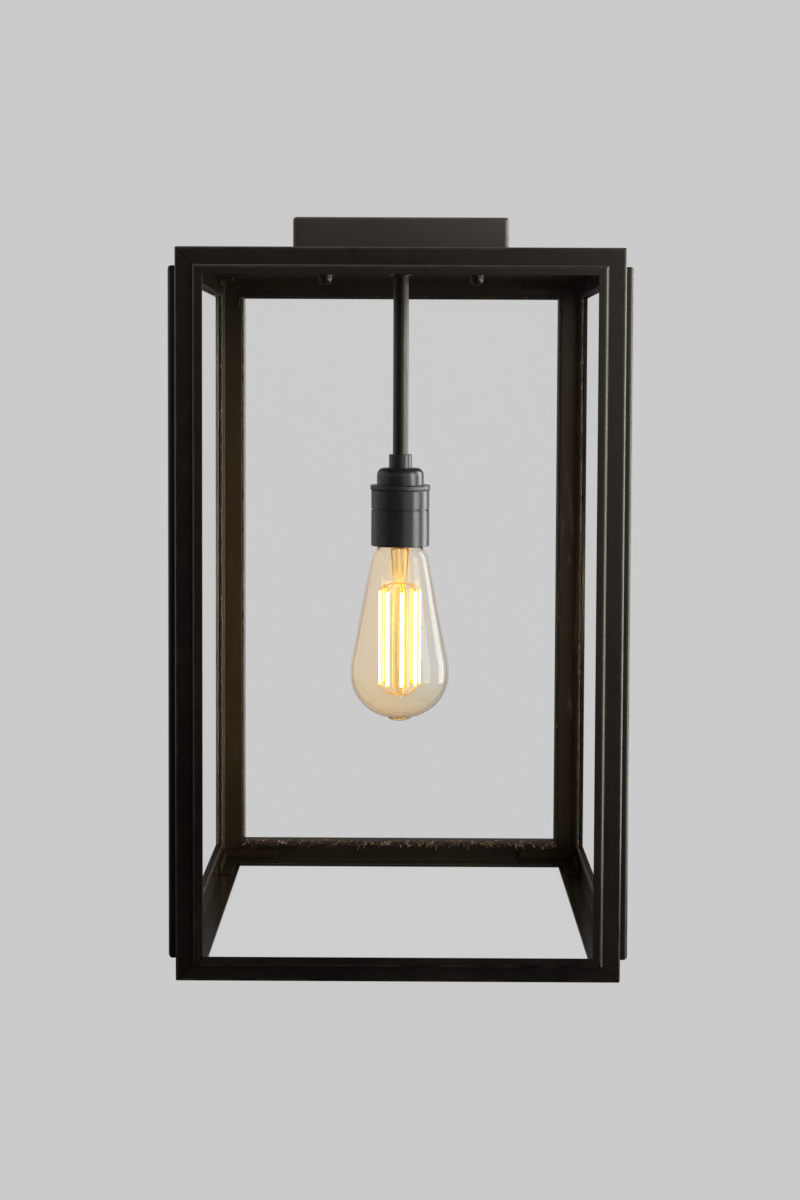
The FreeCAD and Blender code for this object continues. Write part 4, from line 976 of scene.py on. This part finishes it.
def build_filaments():
    """Eight upright sticks in a ring, round at both ends, with bowed wires that gather them to the stem above
    and below, a hoop over them and a tail under the stem."""
    low, high = FILAMENT_LOW, FILAMENT_HIGH
    lift = np.linspace(0, QUARTER, 5)
    end = np.stack([FILAMENT_RADIUS * np.sin(lift), FILAMENT_RADIUS * (1 - np.cos(lift))], axis=1)
    levels = np.linspace(low + 2 * MM, high - 2 * MM, 12)
    shaft = np.stack([np.full(12, FILAMENT_RADIUS), levels], axis=1)
    profile = np.concatenate([end + (0, low), shaft, (end * (1, -1) + (0, high))[::-1]])
    sweep = np.linspace(0, 1, SUPPORT_STEPS)[:, None]
    sticks, wires = [], []
    for angle in FIRST_FILAMENT + TURN * np.arange(FILAMENTS) / FILAMENTS:
        way = np.array([math.cos(angle), math.sin(angle)])
        sticks.append(turned(profile, FILAMENT_RING * way, FILAMENT_SIDES,
                             outward=np.cos(angles_round(FILAMENT_SIDES) - angle)))
        for start, stop, bow in ((high - 0.5 * MM, high + 3.0 * MM, 1.2 * MM),
                                 (low + 0.5 * MM, low - 5.5 * MM, -1.6 * MM)):
            reach = FILAMENT_RING + (GATHER_RADIUS - FILAMENT_RING) * sweep
            height = start + (stop - start) * sweep ** 0.8 + bow * np.sin(math.pi * sweep)
            wires.append(wire(np.concatenate([reach * way, height], axis=1), SUPPORT_WIRE))
    new_piece("filament_sticks", sticks, "glowing_filament", "filaments", body="lamp")

    around = np.linspace(0, TURN, HOOP_STEPS)
    hoop = np.stack([FILAMENT_RING * np.cos(around), FILAMENT_RING * np.sin(around),
                     np.full(HOOP_STEPS, high + HOOP_RISE)], axis=1)
    tail = [[0, 0, STEM_LOW + 1 * MM], [0, 0, low - 3 * MM], [0, 0, low - 6.0 * MM]]
    wires += [wire(hoop, HOOP_WIRE), wire(tail, TAIL_WIRE, 10)]
    new_piece("filament_wires", wires, "bright_wire", "filament_supports", body="lamp")


THREAD_PITCH, THREAD_DEPTH, THREAD_FADE = 3.63 * MM, 0.55 * MM, 2.0 * MM
CAP_ROWS, CAP_SIDES, CAP_WALL, CAP_CLEARANCE = 72, 96, 0.35 * MM, 0.02 * MM
CAP_SKIRT, CAP_PLAIN_TOP = 3.0 * MM, 1.5 * MM
CAP_SHOULDER, CAP_SHOULDER_DEPTH = 2.2 * MM, 2.6 * MM


def build_lamp_cap():
    """Screw cap: a shell whose radius rolls in and out along a helix, one wave for each pitch, with a plain
    skirt below and a rounded shoulder above."""
    low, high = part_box("lamp_cap")
    height = np.linspace(low.z, high.z, CAP_ROWS)[:, None]
    below = np.clip((height - low.z - CAP_SKIRT) / THREAD_FADE, 0, 1)
    above = np.clip((high.z - height - CAP_PLAIN_TOP) / THREAD_FADE, 0, 1)
    wave = (np.cos(TURN * height / THREAD_PITCH - angles_round(CAP_SIDES)[None, :]) - 1) / 2
    shoulder = np.clip(1 - (high.z - height) / CAP_SHOULDER, 0, 1)
    outer = high.x - CAP_CLEARANCE + THREAD_DEPTH * wave * below * above - CAP_SHOULDER_DEPTH * shoulder ** 2
    radius = np.concatenate([outer, outer[::-1] - CAP_WALL])
    points = round_axis(radius, np.concatenate([height, height[::-1]]))
    new_piece("lamp_screw_cap", [patch(points, wrap_rows=True)], "lamp_cap_metal", "lamp_cap", body="lamp")


# Finishes of the solids that show as they are.
NODE_FINISHES = {
    "patinated_brass": ["stud_washers", "tube_locknuts"],
    "zinc_steel": ["ceiling_strap", "strap_studs", "stud_locknuts", "terminal_screws", "earth_screw"],
    "white_nylon": ["terminal_block"],
    "brown_sleeving": ["live_wire"],
    "blue_sleeving": ["neutral_wire"],
    "green_sleeving": ["earth_wire"],
    "porcelain": ["lampholder_insert"],
    "bright_brass": ["lampholder_sleeve", "lampholder_contact", "lampholder_terminals"],
    "lamp_cap_metal": ["lamp_contact"],
    "black_glaze": ["lamp_insulator"],
}
INNER_NODES = ["top_plate", "top_corner_gussets", "bottom_corner_gussets"]


def finish_nodes():
    """Give the solids that show as they are their finishes."""
    given = [(node, FINISHES[finish]) for finish, names in NODE_FINISHES.items() for node in names]
    given += [(node, INNER_PATINA) for node in INNER_NODES]
    for node, material in given:
        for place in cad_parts[node].material_slots:
            place.material = material


# The photograph's view: its picture is 800 by 1200 pixels.
PICTURE_HEIGHT = 1200
FOCAL_PIXELS = 1726.1
SIGHT_ROW = 469.2
SENSOR = 36.0
CAMERA_PLACE = Vector((0.0032, -1.1227, -0.1050))
CAMERA_YAW, CAMERA_PITCH, CAMERA_ROLL = -0.0031, 0.0461, 0.0042


def place_camera():
    """The photograph's camera: its lens and shift from the focal length and the sight row in pixels, and its
    axes from yaw, pitch and roll."""
    lens = bpy.data.cameras.new("camera")
    lens.sensor_fit = "VERTICAL"
    lens.sensor_height = SENSOR
    lens.lens = SENSOR * FOCAL_PIXELS / PICTURE_HEIGHT
    lens.shift_y = SIGHT_ROW / PICTURE_HEIGHT - 0.5
    lens.clip_start = 0.01
    level = math.cos(CAMERA_PITCH)
    ahead = Vector((math.sin(CAMERA_YAW) * level, math.cos(CAMERA_YAW) * level, -math.sin(CAMERA_PITCH)))
    right = Vector((math.cos(CAMERA_YAW), -math.sin(CAMERA_YAW), 0))
    rolled = math.cos(CAMERA_ROLL) * right + math.sin(CAMERA_ROLL) * right.cross(ahead)
    turn = Matrix((rolled, rolled.cross(ahead), -ahead)).transposed().to_4x4()
    camera = into_scene("camera", lens)
    camera.matrix_world = Matrix.Translation(CAMERA_PLACE) @ turn
    bpy.context.scene.camera = camera


BACKDROP = 0.597
BACKDROP_THROUGH_GLASS = 0.640
FILL = 0.30
CEILING = 0.12


def light_world():
    """A plain grey surround. Seen directly or through glass it is the backdrop; in reflections it is darker
    towards the viewer's side, below and above the backdrop; as light it is a low even fill."""
    world = bpy.data.worlds.new("studio")
    world.use_nodes = True
    bpy.context.scene.world = world
    tree = world.node_tree
    path = add(tree, "LightPath").outputs
    way = parts_of(tree, coordinates(tree, "Generated"))
    behind = times(tree, ranged(tree, way["Y"], -0.9, 0.5), ranged(tree, way["Z"], -0.30, -0.1, 0.05, 1.0))
    above = times(tree, ranged(tree, way["Y"], 0.5, 0.8), ranged(tree, way["Z"], 0.12, 0.3))
    behind = times(tree, behind, scaled(tree, above, 1.0, 0.08))
    ceiling = times(tree, ranged(tree, way["Z"], -0.05, 0.12, 0.0, CEILING), scaled(tree, above, 1.0, 0.3))
    level = calc(tree, "ADD", times(tree, behind, BACKDROP), ceiling)
    level = between(tree, path["Is Glossy Ray"], FILL, level)
    level = between(tree, path["Is Transmission Ray"], level, BACKDROP_THROUGH_GLASS)
    level = between(tree, path["Is Camera Ray"], level, BACKDROP)
    feed(tree, tree.nodes["Background"], Color=rgb(1, 1, 1), Strength=level)


FLOOR_LEVEL, FLOOR_RADIUS, FLOOR_RINGS = -1.6, 1.5, 12


def lay_floor():
    """A pale round floor well below the hanging lantern."""
    ring = np.linspace(0, 1, FLOOR_RINGS)[:, None] * FLOOR_RADIUS
    points = round_axis(np.broadcast_to(ring, (FLOOR_RINGS, TURNED_SIDES)), FLOOR_LEVEL)
    material, tree, shader = new_material("pale_floor")
    cloud = use(tree, NOISE, Size=0.3)["Cloud"]
    grey = mixed(tree, cloud, rgb(0.58, 0.58, 0.58), rgb(0.62, 0.62, 0.61))
    feed(tree, shader, Base_Color=grey, Roughness=0.8)
    floor = new_object("floor", [patch(points)], material)
    floor.visible_glossy = False


def add_light(name, place, width, height, brightness, tone=(1.0, 1.0, 1.0), diffuse=True, glossy=True):
    """A soft rectangular lamp, aimed at the lantern's middle. Its power is brightness times its area times
    pi."""
    lamp = bpy.data.lights.new(name, "AREA")
    lamp.shape = "RECTANGLE"
    lamp.size = width
    lamp.size_y = height
    lamp.energy = brightness * width * height * math.pi
    lamp.color = tone
    holder = into_scene(name, lamp)
    aim = Vector((0, 0, MIDDLE)) - Vector(place)
    holder.matrix_world = Matrix.Translation(place) @ aim.to_track_quat("-Z", "Y").to_matrix().to_4x4()
    holder.visible_camera = False
    holder.visible_transmission = False
    holder.visible_diffuse = diffuse
    holder.visible_glossy = glossy


WINDOW_LIGHT, WINDOW_TONE = 6.0, (0.95, 1.0, 1.04)
WINDOW_AWAY, WINDOW_LEVEL, WINDOW_HEIGHT = 1.6, -0.05, 1.6
WINDOW_TURN = math.radians(24)


def light_studio():
    """Window light from the right: one lamp that lights the lantern, and two narrower ones to either side of
    it that only show in reflections. A weak fill stands in front."""
    add_light("window_right", (WINDOW_AWAY, -0.12, WINDOW_LEVEL), 1.5, WINDOW_HEIGHT, WINDOW_LIGHT,
              WINDOW_TONE, glossy=False)
    for number, turn in enumerate((-WINDOW_TURN, WINDOW_TURN)):
        place = (WINDOW_AWAY * math.cos(turn), WINDOW_AWAY * math.sin(turn), WINDOW_LEVEL)
        add_light("window_pane_%d" % number, place, 0.62, WINDOW_HEIGHT, WINDOW_LIGHT, WINDOW_TONE,
                  diffuse=False)
    add_light("fill_front_right", (1.05, -1.6, 0.20), 1.5, 1.8, 0.65)


build_frame()
build_beads()
build_bedding()
build_panes()
build_mounting_box()
build_lampholder()
build_dome_nuts()
build_lamp_glass()
build_lamp_stem()
build_filaments()
build_lamp_cap()
finish_nodes()
place_camera()
light_world()
lay_floor()
light_studio()
bpy.context.scene.view_settings.view_transform = "Standard"
